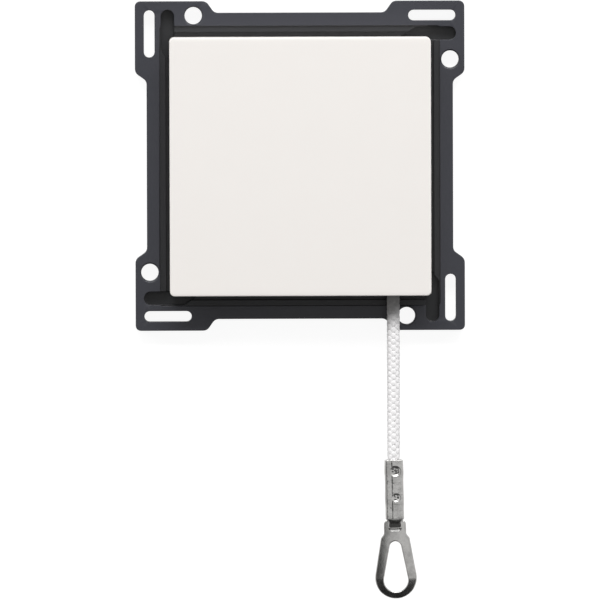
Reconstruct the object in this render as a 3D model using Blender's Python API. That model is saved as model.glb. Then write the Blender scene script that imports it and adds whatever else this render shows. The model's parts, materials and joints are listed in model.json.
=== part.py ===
"""Pull cord switch: a flush wall switch worked by a hanging cord.

The frame plate's back lies on the wall at y = 0, the front faces -Y and +Z is up.
A pull on the cord turns the lever, its pawl turns the ratchet by one tooth, and the
cam behind the ratchet pushes the contact arm over. All sizes are in metres.
"""

import math

import bmesh
import bpy
from mathutils import Vector

# Gaps between neighbours
SEAT_GAP = 0.0003
RUN_GAP = 0.00015

# Frame plate
PLATE_SIDE = 0.0710
PLATE_THICKNESS = 0.0030
PLATE_CORNER = 0.0011
EAR_LENGTH = 0.01455
EAR_STEP = 0.0025
EAR_SLOPE = 55
EAR_ROUND = 0.0016
EAR_FILLET = 0.0015
SLOT_LENGTH = 0.0102
SLOT_WIDTH = 0.0023
SLOT_ALONG = 0.0070
HOLE_DIAMETER = 0.00375
HOLE_CHAMFER = 0.00025
HOLE_ALONG = 0.0126
FIXING_INSET = 0.0031
RECESS_REACH = 0.0021
RECESS_DEPTH = 0.0004
MOAT_REACH = 0.0008
MOAT_DEPTH = 0.0014
CHANNEL_WIDTH = 0.0029
CHANNEL_LENGTH = 0.01075
CHANNEL_DEPTH = 0.0021
CHANNEL_END = 0.0018
CHANNEL_SHIFT = 0.0004
BACK_SEAT = 0.0269
BACK_RELIEF = 0.00015
COLLAR_WALL = 0.0012
COLLAR_HEIGHT = 0.0042
SNAP_WIDTH = 0.0080

# Cover
COVER_SIDE = 0.0562
COVER_TALL = 0.0556
COVER_WALL = 0.0015
COVER_FRONT = 0.0016
COVER_ROOM = 0.0006
COVER_CORNER = 0.0010
COVER_EDGE = 0.0003
NOTCH_GAP = 0.0007

# Cord, clamp and pull ring
CORD_DIAMETER = 0.0028
CORD_SQUEEZED = 0.0020
CORD_CLEARANCE = 0.00045
CORD_HANG = 0.0353
FITTING_LEAN = math.radians(1.0)
CLAMP_LENGTH = 0.0128
CLAMP_WIDTH = 0.0040
CLAMP_DEPTH = 0.0036
CLAMP_WALL = 0.00045
CORD_GRIP = 0.0100
DENT_DIAMETER = 0.0021
DENT_DEPTH = 0.00025
SEAM_GAP = 0.00015
SEAM_SHIFT = 0.00055
STRAP_WIDTH = 0.0020
STRAP_THICKNESS = 0.0004
FOLD_DROP = 0.0008
FOLD_RADIUS = 0.00095
RING_LENGTH = 0.0169
RING_WIDTH = 0.0090
RING_THICKNESS = 0.0008
RING_BAR = 0.0010
RING_NECK = 0.0048
RING_SHOULDER = 0.0062
RING_HOLE_TOP = 0.0045
RING_HOLE_CROWN = 0.00125
RING_HOLE_WIDTH = 0.0052
RING_FOOT = 0.00145

# Lever, pawl and return spring
PIVOT_X = 0.0040
PIVOT_Z = 0.0030
PIN_DIAMETER = 0.0024
GROOVE_RADIUS = 0.0160
GROOVE_FLANGE = 0.0004
RIM_WALL = 0.0012
LEVER_WEB = 0.00155
LEVER_HUB = 0.0042
KNOT_DIAMETER = 0.0038
KNOT_ANGLE = 52
TAIL_RADIUS = 0.0100
TAIL_WIDTH = 0.0036
STOP_RADIUS = 0.0115
STOP_DIAMETER = 0.0020
PAWL_SHARE = 0.75
PAWL_EYE = 0.0032
PAWL_PIN_DIAMETER = 0.0016
LEAF_THICKNESS = 0.0003
SPRING_COIL = 0.00105
SPRING_WIRE = 0.00045
SPRING_TURNS = 10
SPRING_PEG = 0.0016
SPRING_LENGTH = 0.0176

# Ratchet wheel and cam
TEETH = 12
RATCHET_SHARE = 0.5125
TOOTH_DEPTH = 0.0014
WHEEL_THICKNESS = 0.0024
WHEEL_HUB = 0.0038
SPIGOT_SIDE = 0.0046
CAM_RADIUS = 0.0052
CAM_RISE = 0.0013
CAM_THICKNESS = 0.0030

# Housing, lid and screws
HOUSING_SIDE = 0.0400
HOUSING_DEPTH = 0.0220
HOUSING_WALL = 0.0016
HOUSING_CORNER = 0.0020
FLANGE_REACH = 0.0022
FLANGE_THICKNESS = 0.0020
TAB_WIDTH = 0.0110
LID_THICKNESS = 0.0015
LID_SCREW_X = 0.0080
LID_SCREW_INSET = 0.0042
SCREW_DIAMETER = 0.0024
SCREW_HEAD = 0.0040
SCREW_HEIGHT = 0.0012

# Contacts and terminals
ARM_THICKNESS = 0.0012
ARM_WIDTH = 0.0032
ARM_DROP = 0.0130
ARM_RISE = 0.0100
ARM_EYE = 0.0036
ARM_SHANK = 0.0030
ARM_TIP = 0.0022
NOSE_HEIGHT = 0.0019
NOSE_BASE = 0.0034
NOSE_FLAT = 0.0006
ARM_PIN_DIAMETER = 0.0018
CONTACT_DIAMETER = 0.0032
CONTACT_HEAD = 0.0009
CONTACT_GAP = 0.0027
BLADE_THICKNESS = 0.0010
CLEVIS_SHEET = 0.0008
TERMINAL_SIDE = 0.0060
TERMINAL_WIDTH = 0.0070
TERMINAL_LENGTH = 0.0120
WIRE_HOLE = 0.0034
CONTACT_COIL = 0.0015
CONTACT_WIRE = 0.0004
CONTACT_TURNS = 5

# Levels along Y and places that follow from the sizes
FACE_ANGLE = 92
PULL_ANGLE = 360 / TEETH
plate_front = -PLATE_THICKNESS
floor_front = MOAT_DEPTH - PLATE_THICKNESS
collar_front = floor_front - COLLAR_HEIGHT
collar_half = COVER_SIDE / 2 - COVER_WALL - SEAT_GAP
collar_inner = collar_half - COLLAR_WALL
snap_front = floor_front - 0.75 * COLLAR_HEIGHT
snap_back = floor_front - 0.55 * COLLAR_HEIGHT
cord_radius = CORD_DIAMETER / 2
cord_x = PIVOT_X + GROOVE_RADIUS
cord_y = plate_front - CORD_CLEARANCE - cord_radius
clamp_top = -COVER_SIDE / 2 - CORD_HANG
fold_z = clamp_top - CLAMP_LENGTH - FOLD_DROP
opening_half = HOUSING_SIDE / 2 + SEAT_GAP
lid_front = floor_front - SEAT_GAP
lid_back = lid_front + LID_THICKNESS
housing_front = lid_back + SEAT_GAP
wheel_back = lid_front - 2 * SEAT_GAP
wheel_front = wheel_back - WHEEL_THICKNESS
web_back = wheel_front - SEAT_GAP
web_front = web_back - LEVER_WEB
hub_front = web_front - 0.00025
clip_back = hub_front - SEAT_GAP
clip_front = clip_back - 0.0006
pin_front = clip_front - 0.0004
cover_inside = pin_front - COVER_ROOM
cover_front = cover_inside - COVER_FRONT
cam_front = 0.0020
cam_back = cam_front + CAM_THICKNESS
post_front = cam_back + SEAT_GAP
rear_inside = HOUSING_DEPTH - HOUSING_WALL
side_inside = HOUSING_SIDE / 2 - HOUSING_WALL
screw_z = (opening_half + collar_inner) / 2
lid_screw_z = HOUSING_SIDE / 2 - LID_SCREW_INSET
rim_half = cord_radius + SEAT_GAP + GROOVE_FLANGE
rim_floor = GROOVE_RADIUS - cord_radius - SEAT_GAP
rim_inner = rim_floor - RIM_WALL
rim_tip = GROOVE_RADIUS + cord_radius + 0.0002
pawl_radius = PAWL_SHARE * GROOVE_RADIUS
ratchet_radius = RATCHET_SHARE * GROOVE_RADIUS
stop_angle = 140 + math.degrees(math.asin((STOP_DIAMETER / 2 + SEAT_GAP) / STOP_RADIUS))
tail_swing = math.asin((TAIL_WIDTH / 2 + STOP_DIAMETER / 2 + SEAT_GAP) / STOP_RADIUS)
tail_angle = stop_angle + math.degrees(tail_swing) + PULL_ANGLE
spring_y = (lid_front + web_back) / 2
nose_x = PIVOT_X - CAM_RADIUS - SEAT_GAP
arm_right = nose_x - NOSE_HEIGHT
arm_left = arm_right - ARM_THICKNESS
arm_x = (arm_left + arm_right) / 2
arm_z = PIVOT_Z - ARM_DROP
arm_front = cam_front - 0.0001
arm_back = arm_front + ARM_WIDTH
contact_z = PIVOT_Z + ARM_RISE
moving_face = arm_left - SEAT_GAP - CONTACT_HEAD
fixed_face = moving_face - CONTACT_GAP
blade_right = fixed_face - CONTACT_HEAD - SEAT_GAP
blade_left = blade_right - BLADE_THICKNESS
terminal_left = SEAT_GAP - side_inside
terminal_right = terminal_left + TERMINAL_WIDTH
terminal_back = rear_inside - SEAT_GAP
terminal_front = terminal_back - TERMINAL_LENGTH
terminal_x = (terminal_left + terminal_right) / 2
terminal_y = (terminal_front + terminal_back) / 2


def arc(centre, radius, start, end, steps):
    """Points of an arc, with the angles in degrees."""
    points = []
    for index in range(steps + 1):
        angle = math.radians(start + (end - start) * index / steps)
        points.append((centre[0] + radius * math.cos(angle), centre[1] + radius * math.sin(angle)))
    return points


def circle(centre, radius, steps=24):
    """Points of a full circle, without its last repeated point."""
    return arc(centre, radius, 0, 360, steps)[:-1]


def polar(radius, angle):
    """A point seen from the lever's pivot."""
    return arc((PIVOT_X, PIVOT_Z), radius, angle, angle, 1)[0]


def rectangle(left, bottom, right, top):
    """Corners of an upright rectangle."""
    return [(left, bottom), (right, bottom), (right, top), (left, top)]


def rounded_square(half_width, half_height, radius, centre=(0, 0), steps=4):
    """A rectangle with round corners."""
    points = []
    for quarter, (side, top) in enumerate(((1, 1), (-1, 1), (-1, -1), (1, -1))):
        corner = (centre[0] + side * (half_width - radius), centre[1] + top * (half_height - radius))
        points += arc(corner, radius, 90 * quarter, 90 * quarter + 90, steps)
    return points


def four_ways(points):
    """The outline and its three quarter turns, clockwise seen from the front."""
    turned_points = [list(points)]
    for _ in range(3):
        turned_points.append([(z, -x) for x, z in turned_points[-1]])
    return turned_points


def ribbon(path, width):
    """The outline of a strip of even width along a path."""
    left = []
    right = []
    for index, point in enumerate(path):
        before = Vector(path[max(index - 1, 0)])
        after = Vector(path[min(index + 1, len(path) - 1)])
        here = Vector(point)
        first = (here - before).normalized() if index > 0 else (after - here).normalized()
        second = (after - here).normalized() if index < len(path) - 1 else first
        along = (first + second).normalized()
        reach = width / 2 / max(along.dot(first), 0.5)
        side = Vector((-along.y, along.x)) * reach
        left.append(tuple(here + side))
        right.append(tuple(here - side))
    return left + right[::-1]


def place(points, level, axis):
    """Lift a flat outline to its level along the axis."""
    if axis == "X":
        return [(level, u, v) for u, v in points]
    if axis == "Y":
        return [(u, level, v) for u, v in points]
    return [(u, v, level) for u, v in points]


def loft(name, rings, closed=False):
    """Skin a row of outlines that have the same number of points."""
    count = len(rings[0])
    vertices = [point for ring in rings for point in ring]
    faces = []
    for row in range(len(rings) if closed else len(rings) - 1):
        following = (row + 1) % len(rings)
        for index in range(count):
            beside = (index + 1) % count
            faces.append((row * count + index, row * count + beside,
                          following * count + beside, following * count + index))
    if not closed:
        faces.append(tuple(range(count)))
        faces.append(tuple(range((len(rings) - 1) * count, len(rings) * count)))
    mesh = bpy.data.meshes.new(name)
    mesh.from_pydata(vertices, [], faces)
    work = bmesh.new()
    work.from_mesh(mesh)
    bmesh.ops.recalc_face_normals(work, faces=work.faces)
    work.to_mesh(mesh)
    work.free()
    piece = bpy.data.objects.new(name, mesh)
    bpy.context.scene.collection.objects.link(piece)
    return piece


def slab(name, outline, start, end, axis="Y"):
    """A straight prism from one level to another."""
    return loft(name, [place(outline, start, axis), place(outline, end, axis)])


def turned(name, centre, profile, axis="Y", steps=24, closed=False):
    """A round piece from pairs of radius and level."""
    rings = [place(circle(centre, radius, steps), level, axis) for radius, level in profile]
    return loft(name, rings, closed)


def combine(piece, operation, tools):
    """Apply Booleans to a piece and take their tools away."""
    for tool in tools:
        modifier = piece.modifiers.new(operation.lower(), "BOOLEAN")
        modifier.operation = operation
        modifier.solver = "EXACT"
        modifier.object = tool
        depsgraph = bpy.context.evaluated_depsgraph_get()
        mesh = bpy.data.meshes.new_from_object(piece.evaluated_get(depsgraph))
        piece.modifiers.clear()
        piece.data = mesh
        bpy.data.objects.remove(tool)
    return piece


def cut(piece, *tools):
    """Take the tools' shapes out of a piece."""
    return combine(piece, "DIFFERENCE", tools)


def fuse(piece, *tools):
    """Join the tools' shapes to a piece."""
    return combine(piece, "UNION", tools)


def tube(name, points, radius, factors=None, resolution=2):
    """A round wire or cord along its points, with closed ends."""
    curve = bpy.data.curves.new(name, "CURVE")
    curve.dimensions = "3D"
    curve.bevel_depth = radius
    curve.bevel_resolution = resolution
    curve.use_fill_caps = True
    spline = curve.splines.new("POLY")
    spline.points.add(len(points) - 1)
    for index, point in enumerate(points):
        spline.points[index].co = (*point, 1)
        if factors:
            spline.points[index].radius = factors[index]
    piece = bpy.data.objects.new(name, curve)
    bpy.context.scene.collection.objects.link(piece)
    return piece


def print_least_gap(name, points, wire):
    """Print the least clear distance of a wire to itself."""
    places = [Vector(point) for point in points]
    travel = [0.0]
    for index in range(1, len(places)):
        travel.append(travel[-1] + (places[index] - places[index - 1]).length)
    least = 1.0
    for first in range(len(places)):
        for second in range(first + 1, len(places)):
            if travel[second] - travel[first] > 5 * wire:
                least = min(least, (places[first] - places[second]).length)
    print(f"{name}: least gap to itself {1000 * (least - wire):.2f} mm")


def finish(piece, material_name, colour, roughness, metallic=0.0):
    """Give a piece its material and smooth its round faces."""
    material = bpy.data.materials.new(f"{piece.name}_{material_name}")
    material.use_nodes = True
    shader = material.node_tree.nodes["Principled BSDF"]
    shader.inputs["Base Color"].default_value = (*colour, 1)
    shader.inputs["Roughness"].default_value = roughness
    shader.inputs["Metallic"].default_value = metallic
    piece.data.materials.clear()
    piece.data.materials.append(material)
    if piece.type == "MESH":
        piece.data.shade_smooth()
        piece.data.set_sharp_from_angle(angle=math.radians(32))
    return piece


def joint(name, location, pieces):
    """An empty on a joint's axis that carries the pieces of one body."""
    empty = bpy.data.objects.new(name, None)
    empty.location = location
    bpy.context.scene.collection.objects.link(empty)
    for piece in pieces:
        piece.parent = empty
        piece.location = [-value for value in location]


def screw(name, centre, tip, shoulder, top, diameter, head, axis="Y"):
    """A slotted screw along the axis, from its tip to the top of its head."""
    way = 1 if tip > shoulder else -1
    profile = [(0.35 * diameter, tip), (0.5 * diameter, tip - way * 0.0004),
               (0.5 * diameter, shoulder), (0.5 * head, shoulder),
               (0.5 * head, top + way * 0.0002), (0.5 * head - 0.0002, top)]
    piece = turned(name, centre, profile, axis, 20)
    slot = rectangle(centre[0] - head, centre[1] - 0.0003, centre[0] + head, centre[1] + 0.0003)
    return cut(piece, slab("slot", slot, top - way * 0.001, top + way * 0.0006, axis))


for old in list(bpy.data.objects):
    bpy.data.objects.remove(old)

steel = (0.55, 0.55, 0.56)
brass = (0.72, 0.50, 0.22)

# Frame plate: ears at the corners, fixing slots and holes, recess, moat and collar for the cover.
# Its back is a little hollow where the housing sits, so only the rim lies on the wall.
half = PLATE_SIDE / 2
slope = math.radians(EAR_SLOPE)
flank = (EAR_STEP - (EAR_ROUND + EAR_FILLET) * (1 - math.cos(slope))) / math.sin(slope)
ear_blend = (EAR_ROUND + EAR_FILLET) * math.sin(slope) + flank * math.cos(slope)
blend = arc((half - EAR_STEP + EAR_FILLET, half - EAR_LENGTH - ear_blend), EAR_FILLET, 180, 180 - EAR_SLOPE, 4)
blend += arc((half - EAR_ROUND, half - EAR_LENGTH), EAR_ROUND, -EAR_SLOPE, 0, 4)
ear = blend + arc((half - PLATE_CORNER, half - PLATE_CORNER), PLATE_CORNER, 0, 90, 4)
ear += [(z, x) for x, z in reversed(blend)]
plate_outline = []
for corner in reversed(four_ways(ear)):
    plate_outline += corner
frame_plate = slab("frame_plate", plate_outline, 0, plate_front)
for name, reach, level in (("recess", RECESS_REACH, plate_front + RECESS_DEPTH),
                           ("moat", MOAT_REACH, floor_front)):
    sunk_half = COVER_SIDE / 2 + reach
    outline = rounded_square(sunk_half, sunk_half, 0.0006)
    cut(frame_plate, slab(name, outline, level, plate_front - 0.002))
seat_rings = []
for side in (1, -1):
    reach = BACK_SEAT + side * 3 * BACK_RELIEF
    seat_rings.append(place(rounded_square(reach, reach, 0.0010), side * BACK_RELIEF, "Y"))
cut(frame_plate, loft("back_seat", seat_rings))
outside = rounded_square(collar_half, collar_half, 0.0008)
inside = rounded_square(collar_inner, collar_inner, 0.0008)
collar_rings = [place(outside, floor_front / 2, "Y"), place(outside, collar_front, "Y"),
                place(inside, collar_front, "Y"), place(inside, floor_front / 2, "Y")]
fuse(frame_plate, loft("collar", collar_rings, closed=True))
opening = rounded_square(opening_half, opening_half, HOUSING_CORNER + SEAT_GAP)
cut(frame_plate, slab("opening", opening, 0.001, floor_front - 0.001))
slot_at = (half - SLOT_ALONG, half - FIXING_INSET)
for outline in four_ways(rounded_square(SLOT_LENGTH / 2, SLOT_WIDTH / 2, 0.49 * SLOT_WIDTH, slot_at)):
    cut(frame_plate, slab("slot", outline, 0.001, plate_front - 0.001))
for centre in four_ways([(half - FIXING_INSET, half - HOLE_ALONG)]):
    radius = HOLE_DIAMETER / 2
    profile = [(radius, 0.001), (radius, plate_front + HOLE_CHAMFER),
               (radius + 2 * HOLE_CHAMFER, plate_front - HOLE_CHAMFER)]
    cut(frame_plate, turned("hole", centre[0], profile))
channel_line = COVER_SIDE / 2 + CHANNEL_SHIFT
channel_end = half - CHANNEL_END - CHANNEL_WIDTH / 2
channel_start = half - CHANNEL_END - CHANNEL_LENGTH
channel = arc((channel_end, channel_line), CHANNEL_WIDTH / 2, -90, 90, 10)
channel += [(channel_start + 0.7 * CHANNEL_WIDTH, channel_line + CHANNEL_WIDTH / 2),
            (channel_start - 0.7 * CHANNEL_WIDTH, channel_line - CHANNEL_WIDTH / 2)]
for outline in four_ways(channel):
    cut(frame_plate, slab("channel", outline, plate_front + CHANNEL_DEPTH, plate_front - 0.001))
snap = rectangle(-SNAP_WIDTH / 2, collar_half - 0.0004, SNAP_WIDTH / 2, collar_half + 0.0006)
for outline in four_ways(snap):
    fuse(frame_plate, slab("snap", outline, snap_back, snap_front))
for side in (1, -1):
    cut(frame_plate, turned("bore", (0, side * screw_z),
                            [(SCREW_DIAMETER / 2 + SEAT_GAP, 0.001),
                             (SCREW_DIAMETER / 2 + SEAT_GAP, floor_front - 0.001)]))
notch_half = cord_radius + NOTCH_GAP
gate = rectangle(cord_x - notch_half, -collar_half - 0.001, cord_x + notch_half, -collar_inner + 0.001)
cut(frame_plate, slab("gate", gate, cord_y + notch_half, collar_front - 0.001))
finish(frame_plate, "moulded_plastic", (0.060, 0.061, 0.066), 0.42)

# Cover: a flat moulded cap with a rounded front edge, snap pockets and a notch for the cord
skirt = floor_front - SEAT_GAP
rings = [place(rounded_square(COVER_SIDE / 2, COVER_TALL / 2, COVER_CORNER), skirt, "Y")]
for step in range(5):
    angle = math.radians(22.5 * step)
    inset = COVER_EDGE * (1 - math.cos(angle))
    outline = rounded_square(COVER_SIDE / 2 - inset, COVER_TALL / 2 - inset,
                             max(COVER_CORNER - inset, 0.0001))
    rings.append(place(outline, cover_front + COVER_EDGE * (1 - math.sin(angle)), "Y"))
cover = loft("cover", rings)
cover_half = COVER_SIDE / 2 - COVER_WALL
hollow = rounded_square(cover_half, cover_half, 0.0006)
cut(cover, slab("hollow", hollow, skirt + 0.001, cover_inside))
pocket = rectangle(-SNAP_WIDTH / 2 - SEAT_GAP, cover_half - 0.001, SNAP_WIDTH / 2 + SEAT_GAP,
                   cover_half + 0.0006)
for outline in four_ways(pocket):
    cut(cover, slab("pocket", outline, snap_back + SEAT_GAP, snap_front - SEAT_GAP))
notch = arc((cord_x, cord_y), notch_half, 180, 360, 10)
notch += [(cord_x + notch_half, skirt + 0.001), (cord_x - notch_half, skirt + 0.001)]
cut(cover, slab("notch", notch, -COVER_SIDE / 2 - 0.001, -cover_half + 0.001, "Z"))
finish(cover, "moulded_plastic", (0.85, 0.82, 0.77), 0.35)

# Switch housing: moulded box behind the plate, with a flange, bosses, posts and a rib
outer = rounded_square(HOUSING_SIDE / 2, HOUSING_SIDE / 2, HOUSING_CORNER)
chamfered = rounded_square(HOUSING_SIDE / 2 - 0.0008, HOUSING_SIDE / 2 - 0.0008, HOUSING_CORNER - 0.0004)
switch_housing = loft("switch_housing", [place(outer, housing_front, "Y"),
                                         place(outer, HOUSING_DEPTH - 0.0008, "Y"),
                                         place(chamfered, HOUSING_DEPTH, "Y")])
flange_half = HOUSING_SIDE / 2 + FLANGE_REACH
flange_back = SEAT_GAP + FLANGE_THICKNESS
flange = rounded_square(flange_half, flange_half, HOUSING_CORNER)
fuse(switch_housing, slab("flange", flange, SEAT_GAP, flange_back))
for side in (1, -1):
    tab = rounded_square(TAB_WIDTH / 2, TAB_WIDTH / 2, 0.0015, (0, side * (screw_z + 0.0028 - TAB_WIDTH / 2)))
    fuse(switch_housing, slab("tab", tab, SEAT_GAP + 0.0001, flange_back + 0.0004))
    fuse(switch_housing, turned("boss", (0, side * screw_z), [(0.0026, 0.001), (0.0026, 0.0062)], "Y", 20))
cavity = rounded_square(side_inside, side_inside, HOUSING_CORNER - 0.0008)
cut(switch_housing, slab("cavity", cavity, housing_front - 0.001, rear_inside))
fuse(switch_housing, turned("pivot_post", (PIVOT_X, PIVOT_Z),
                            [(0.0040, post_front), (0.0046, rear_inside + 0.0005)]))
cut(switch_housing, turned("pivot_bore", (PIVOT_X, PIVOT_Z),
                           [(PIN_DIAMETER / 2 + RUN_GAP, post_front - 0.001),
                            (PIN_DIAMETER / 2 + RUN_GAP, post_front + 0.0060)]))
for side in (1, -1):
    at = (LID_SCREW_X, side * lid_screw_z)
    fuse(switch_housing, turned("lid_post", at, [(0.0023, housing_front), (0.0027, rear_inside + 0.0005)]))
    cut(switch_housing, turned("lid_bore", at, [(0.0009 + RUN_GAP, housing_front - 0.001),
                                                (0.0009 + RUN_GAP, housing_front + 0.0080)]))
    cut(switch_housing, turned("boss_bore", (0, side * screw_z),
                               [(SCREW_DIAMETER / 2 + RUN_GAP, -0.001),
                                (SCREW_DIAMETER / 2 + RUN_GAP, 0.0070)]))
spring_seat = arm_left - SEAT_GAP - 0.0061
coil_z = arm_z + 0.0060
coil_y = (arm_front + arm_back) / 2
rib = rectangle(spring_seat - 0.0015, coil_z - 0.0025, spring_seat - SEAT_GAP, coil_z + 0.0025)
fuse(switch_housing, slab("rib", rib, arm_front - 0.0004, rear_inside + 0.0005))
for height in (contact_z, arm_z):
    cut(switch_housing, turned("wire_entry", (terminal_x, height),
                               [(WIRE_HOLE / 2, rear_inside - 0.001), (WIRE_HOLE / 2, HOUSING_DEPTH - 0.0006),
                                (WIRE_HOLE / 2 + 0.0012, HOUSING_DEPTH + 0.0006)]))
    cut(switch_housing, turned("screw_entry", (terminal_y, height),
                               [(0.0025, -HOUSING_SIDE / 2 - 0.001), (0.0025, 0.0005 - side_inside)], "X"))
finish(switch_housing, "moulded_plastic", (0.62, 0.62, 0.60), 0.45)

# Mechanism lid: closes the housing and carries the stop, the spring post and the detent block
mechanism_lid = slab("mechanism_lid", rounded_square(HOUSING_SIDE / 2, HOUSING_SIDE / 2, HOUSING_CORNER),
                     lid_front, lid_back)
cut(mechanism_lid, turned("hub_bore", (PIVOT_X, PIVOT_Z),
                          [(WHEEL_HUB + SEAT_GAP, lid_front - 0.001),
                           (WHEEL_HUB + SEAT_GAP, lid_back + 0.001)]))
for side in (1, -1):
    cut(mechanism_lid, turned("screw_bore", (LID_SCREW_X, side * lid_screw_z),
                              [(0.0021, lid_front - 0.001), (0.0021, lid_front + 0.0008),
                               (0.0012, lid_front + 0.0008), (0.0012, lid_back + 0.001)]))
stop_at = polar(STOP_RADIUS, stop_angle)
fuse(mechanism_lid, turned("stop_post", stop_at, [(STOP_DIAMETER / 2, lid_front + 0.0005),
                                                  (STOP_DIAMETER / 2, web_front + 0.0002)], "Y", 16))
tail_at = polar(TAIL_RADIUS, tail_angle)
anchor_at = (tail_at[0], tail_at[1] - SPRING_LENGTH)
fuse(mechanism_lid, turned("spring_post", anchor_at, [(SPRING_PEG / 2, lid_front + 0.0005),
                                                      (SPRING_PEG / 2, web_back + SEAT_GAP)], "Y", 16))
block_at = polar(ratchet_radius + 0.0043, -58)
block = rectangle(block_at[0] - 0.0014, block_at[1] - 0.0013, block_at[0] + 0.0014, block_at[1] + 0.0013)
fuse(mechanism_lid, slab("detent_block", block, lid_front + 0.0005, wheel_front + 0.0001))
root = rectangle(block_at[0] - 0.003, block_at[1] - LEAF_THICKNESS / 2 - RUN_GAP,
                 block_at[0] + 0.0007, block_at[1] + LEAF_THICKNESS / 2 + RUN_GAP)
cut(mechanism_lid, slab("detent_slot", root, wheel_back + 0.0001, wheel_front - 0.001))
finish(mechanism_lid, "moulded_plastic", (0.70, 0.70, 0.68), 0.45)

# Pivot pin and its clip: the steel axle of the lever, the ratchet wheel and the cam
pin_radius = PIN_DIAMETER / 2
pivot_pin = turned("pivot_pin", (PIVOT_X, PIVOT_Z),
                   [(pin_radius - 0.0002, pin_front), (pin_radius, pin_front + 0.0002),
                    (pin_radius, post_front + 0.0055)], "Y", 20)
finish(pivot_pin, "steel", steel, 0.3, 1.0)
pin_clip = turned("pin_clip", (PIVOT_X, PIVOT_Z),
                  [(pin_radius + 0.0014, clip_back), (pin_radius + 0.0014, clip_front),
                   (pin_radius + RUN_GAP, clip_front), (pin_radius + RUN_GAP, clip_back)], "Y", 20, True)
finish(pin_clip, "spring_steel", steel, 0.35, 1.0)

# Ratchet wheel: saw teeth in front, a hub through the lid and a square spigot for the cam
tooth_root = ratchet_radius - TOOTH_DEPTH
teeth = []
for index in range(TEETH):
    angle = FACE_ANGLE + PULL_ANGLE * index
    teeth += [polar(ratchet_radius, angle), polar(tooth_root, angle),
              polar(ratchet_radius - TOOTH_DEPTH / 2, angle + PULL_ANGLE / 2)]
ratchet_wheel = slab("ratchet_wheel", teeth, wheel_front, wheel_back)
fuse(ratchet_wheel, turned("hub", (PIVOT_X, PIVOT_Z), [(WHEEL_HUB, wheel_back - 0.0005),
                                                       (WHEEL_HUB, cam_front - SEAT_GAP)]))
spigot = rounded_square(SPIGOT_SIDE / 2, SPIGOT_SIDE / 2, 0.0003, (PIVOT_X, PIVOT_Z), 1)
fuse(ratchet_wheel, slab("spigot", spigot, cam_front - 0.001, cam_back - SEAT_GAP))
cut(ratchet_wheel, turned("bore", (PIVOT_X, PIVOT_Z), [(pin_radius + RUN_GAP, wheel_front - 0.001),
                                                       (pin_radius + RUN_GAP, cam_back + 0.001)], "Y", 20))
finish(ratchet_wheel, "acetal", (0.78, 0.76, 0.70), 0.4)

# Cam: six even lobes that push the contact arm's nose out and let it back in turn
lobes = []
for index in range(36):
    phase = (10 * index / (2 * PULL_ANGLE)) % 1
    lift = CAM_RISE * (1 - abs(2 * phase - 1))
    lobes.append(polar(CAM_RADIUS + lift, 180 + 10 * index))
cam = slab("cam", lobes, cam_front, cam_back)
socket_half = SPIGOT_SIDE / 2 + RUN_GAP
cut(cam, slab("socket", rounded_square(socket_half, socket_half, 0.0003, (PIVOT_X, PIVOT_Z), 1),
              cam_front - 0.001, cam_back + 0.001))
finish(cam, "acetal", (0.75, 0.20, 0.12), 0.4)

# Pull lever: grooved rim for the cord, web over the ratchet and a tail for the return spring
rings = []
rim_front = cord_y - rim_half
rim_back = cord_y + rim_half
profile = [(rim_inner, rim_back), (rim_tip, rim_back), (rim_tip, rim_back - GROOVE_FLANGE),
           (rim_floor, rim_back - GROOVE_FLANGE), (rim_floor, rim_front + GROOVE_FLANGE),
           (rim_tip, rim_front + GROOVE_FLANGE), (rim_tip, rim_front), (rim_inner, rim_front)]
for step in range(13):
    angle = -8 + 72 * step / 12
    rings.append([(polar(radius, angle)[0], level, polar(radius, angle)[1]) for radius, level in profile])
pull_lever = loft("pull_lever", rings)
fan_radius = (rim_inner + rim_floor) / 2
web = [polar(fan_radius, -8 + 148 * step / 24) for step in range(25)]
web.append(polar(1.3 * LEVER_HUB, 140))
web += arc(tail_at, TAIL_WIDTH / 2, tail_angle - 90, tail_angle + 90, 8)
web += [polar(LEVER_HUB, tail_angle + 34 + 12 * step) for step in range(11)]
fuse(pull_lever, slab("web", web, web_front, web_back))
fuse(pull_lever, turned("hub", (PIVOT_X, PIVOT_Z), [(LEVER_HUB - 0.0006, web_back - 0.0003),
                                                    (LEVER_HUB - 0.0006, hub_front)]))
fuse(pull_lever, turned("tail_peg", tail_at, [(SPRING_PEG / 2, web_back - 0.0005),
                                              (SPRING_PEG / 2, lid_front - 2 * SEAT_GAP)], "Y", 16))
lug_at = polar(pawl_radius + 0.0003, 90)
lug = rectangle(lug_at[0] - 0.0015, lug_at[1] - 0.0008, lug_at[0] + 0.0013, lug_at[1] + 0.0008)
fuse(pull_lever, slab("spring_lug", lug, web_back - 0.0005, wheel_back - 0.0001))
root = rectangle(lug_at[0] - 0.003, lug_at[1] - LEAF_THICKNESS / 2 - RUN_GAP,
                 lug_at[0] + 0.0002, lug_at[1] + LEAF_THICKNESS / 2 + RUN_GAP)
cut(pull_lever, slab("lug_slot", root, web_back + 0.0001, wheel_back + 0.001))
pawl_at = polar(pawl_radius, 128)
knot_at = polar(GROOVE_RADIUS, KNOT_ANGLE)
cut(pull_lever,
    turned("pivot_bore", (PIVOT_X, PIVOT_Z), [(pin_radius + RUN_GAP, hub_front - 0.001),
                                              (pin_radius + RUN_GAP, web_back + 0.001)], "Y", 20),
    turned("pawl_bore", pawl_at, [(PAWL_PIN_DIAMETER / 2 + RUN_GAP, web_front - 0.001),
                                  (PAWL_PIN_DIAMETER / 2 + RUN_GAP, web_back + 0.001)], "Y", 16),
    turned("knot_pocket", knot_at, [(KNOT_DIAMETER / 2 + SEAT_GAP, rim_front - 0.001),
                                    (KNOT_DIAMETER / 2 + SEAT_GAP, rim_back + 0.001)]))
finish(pull_lever, "acetal", (0.80, 0.79, 0.75), 0.4)

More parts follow.
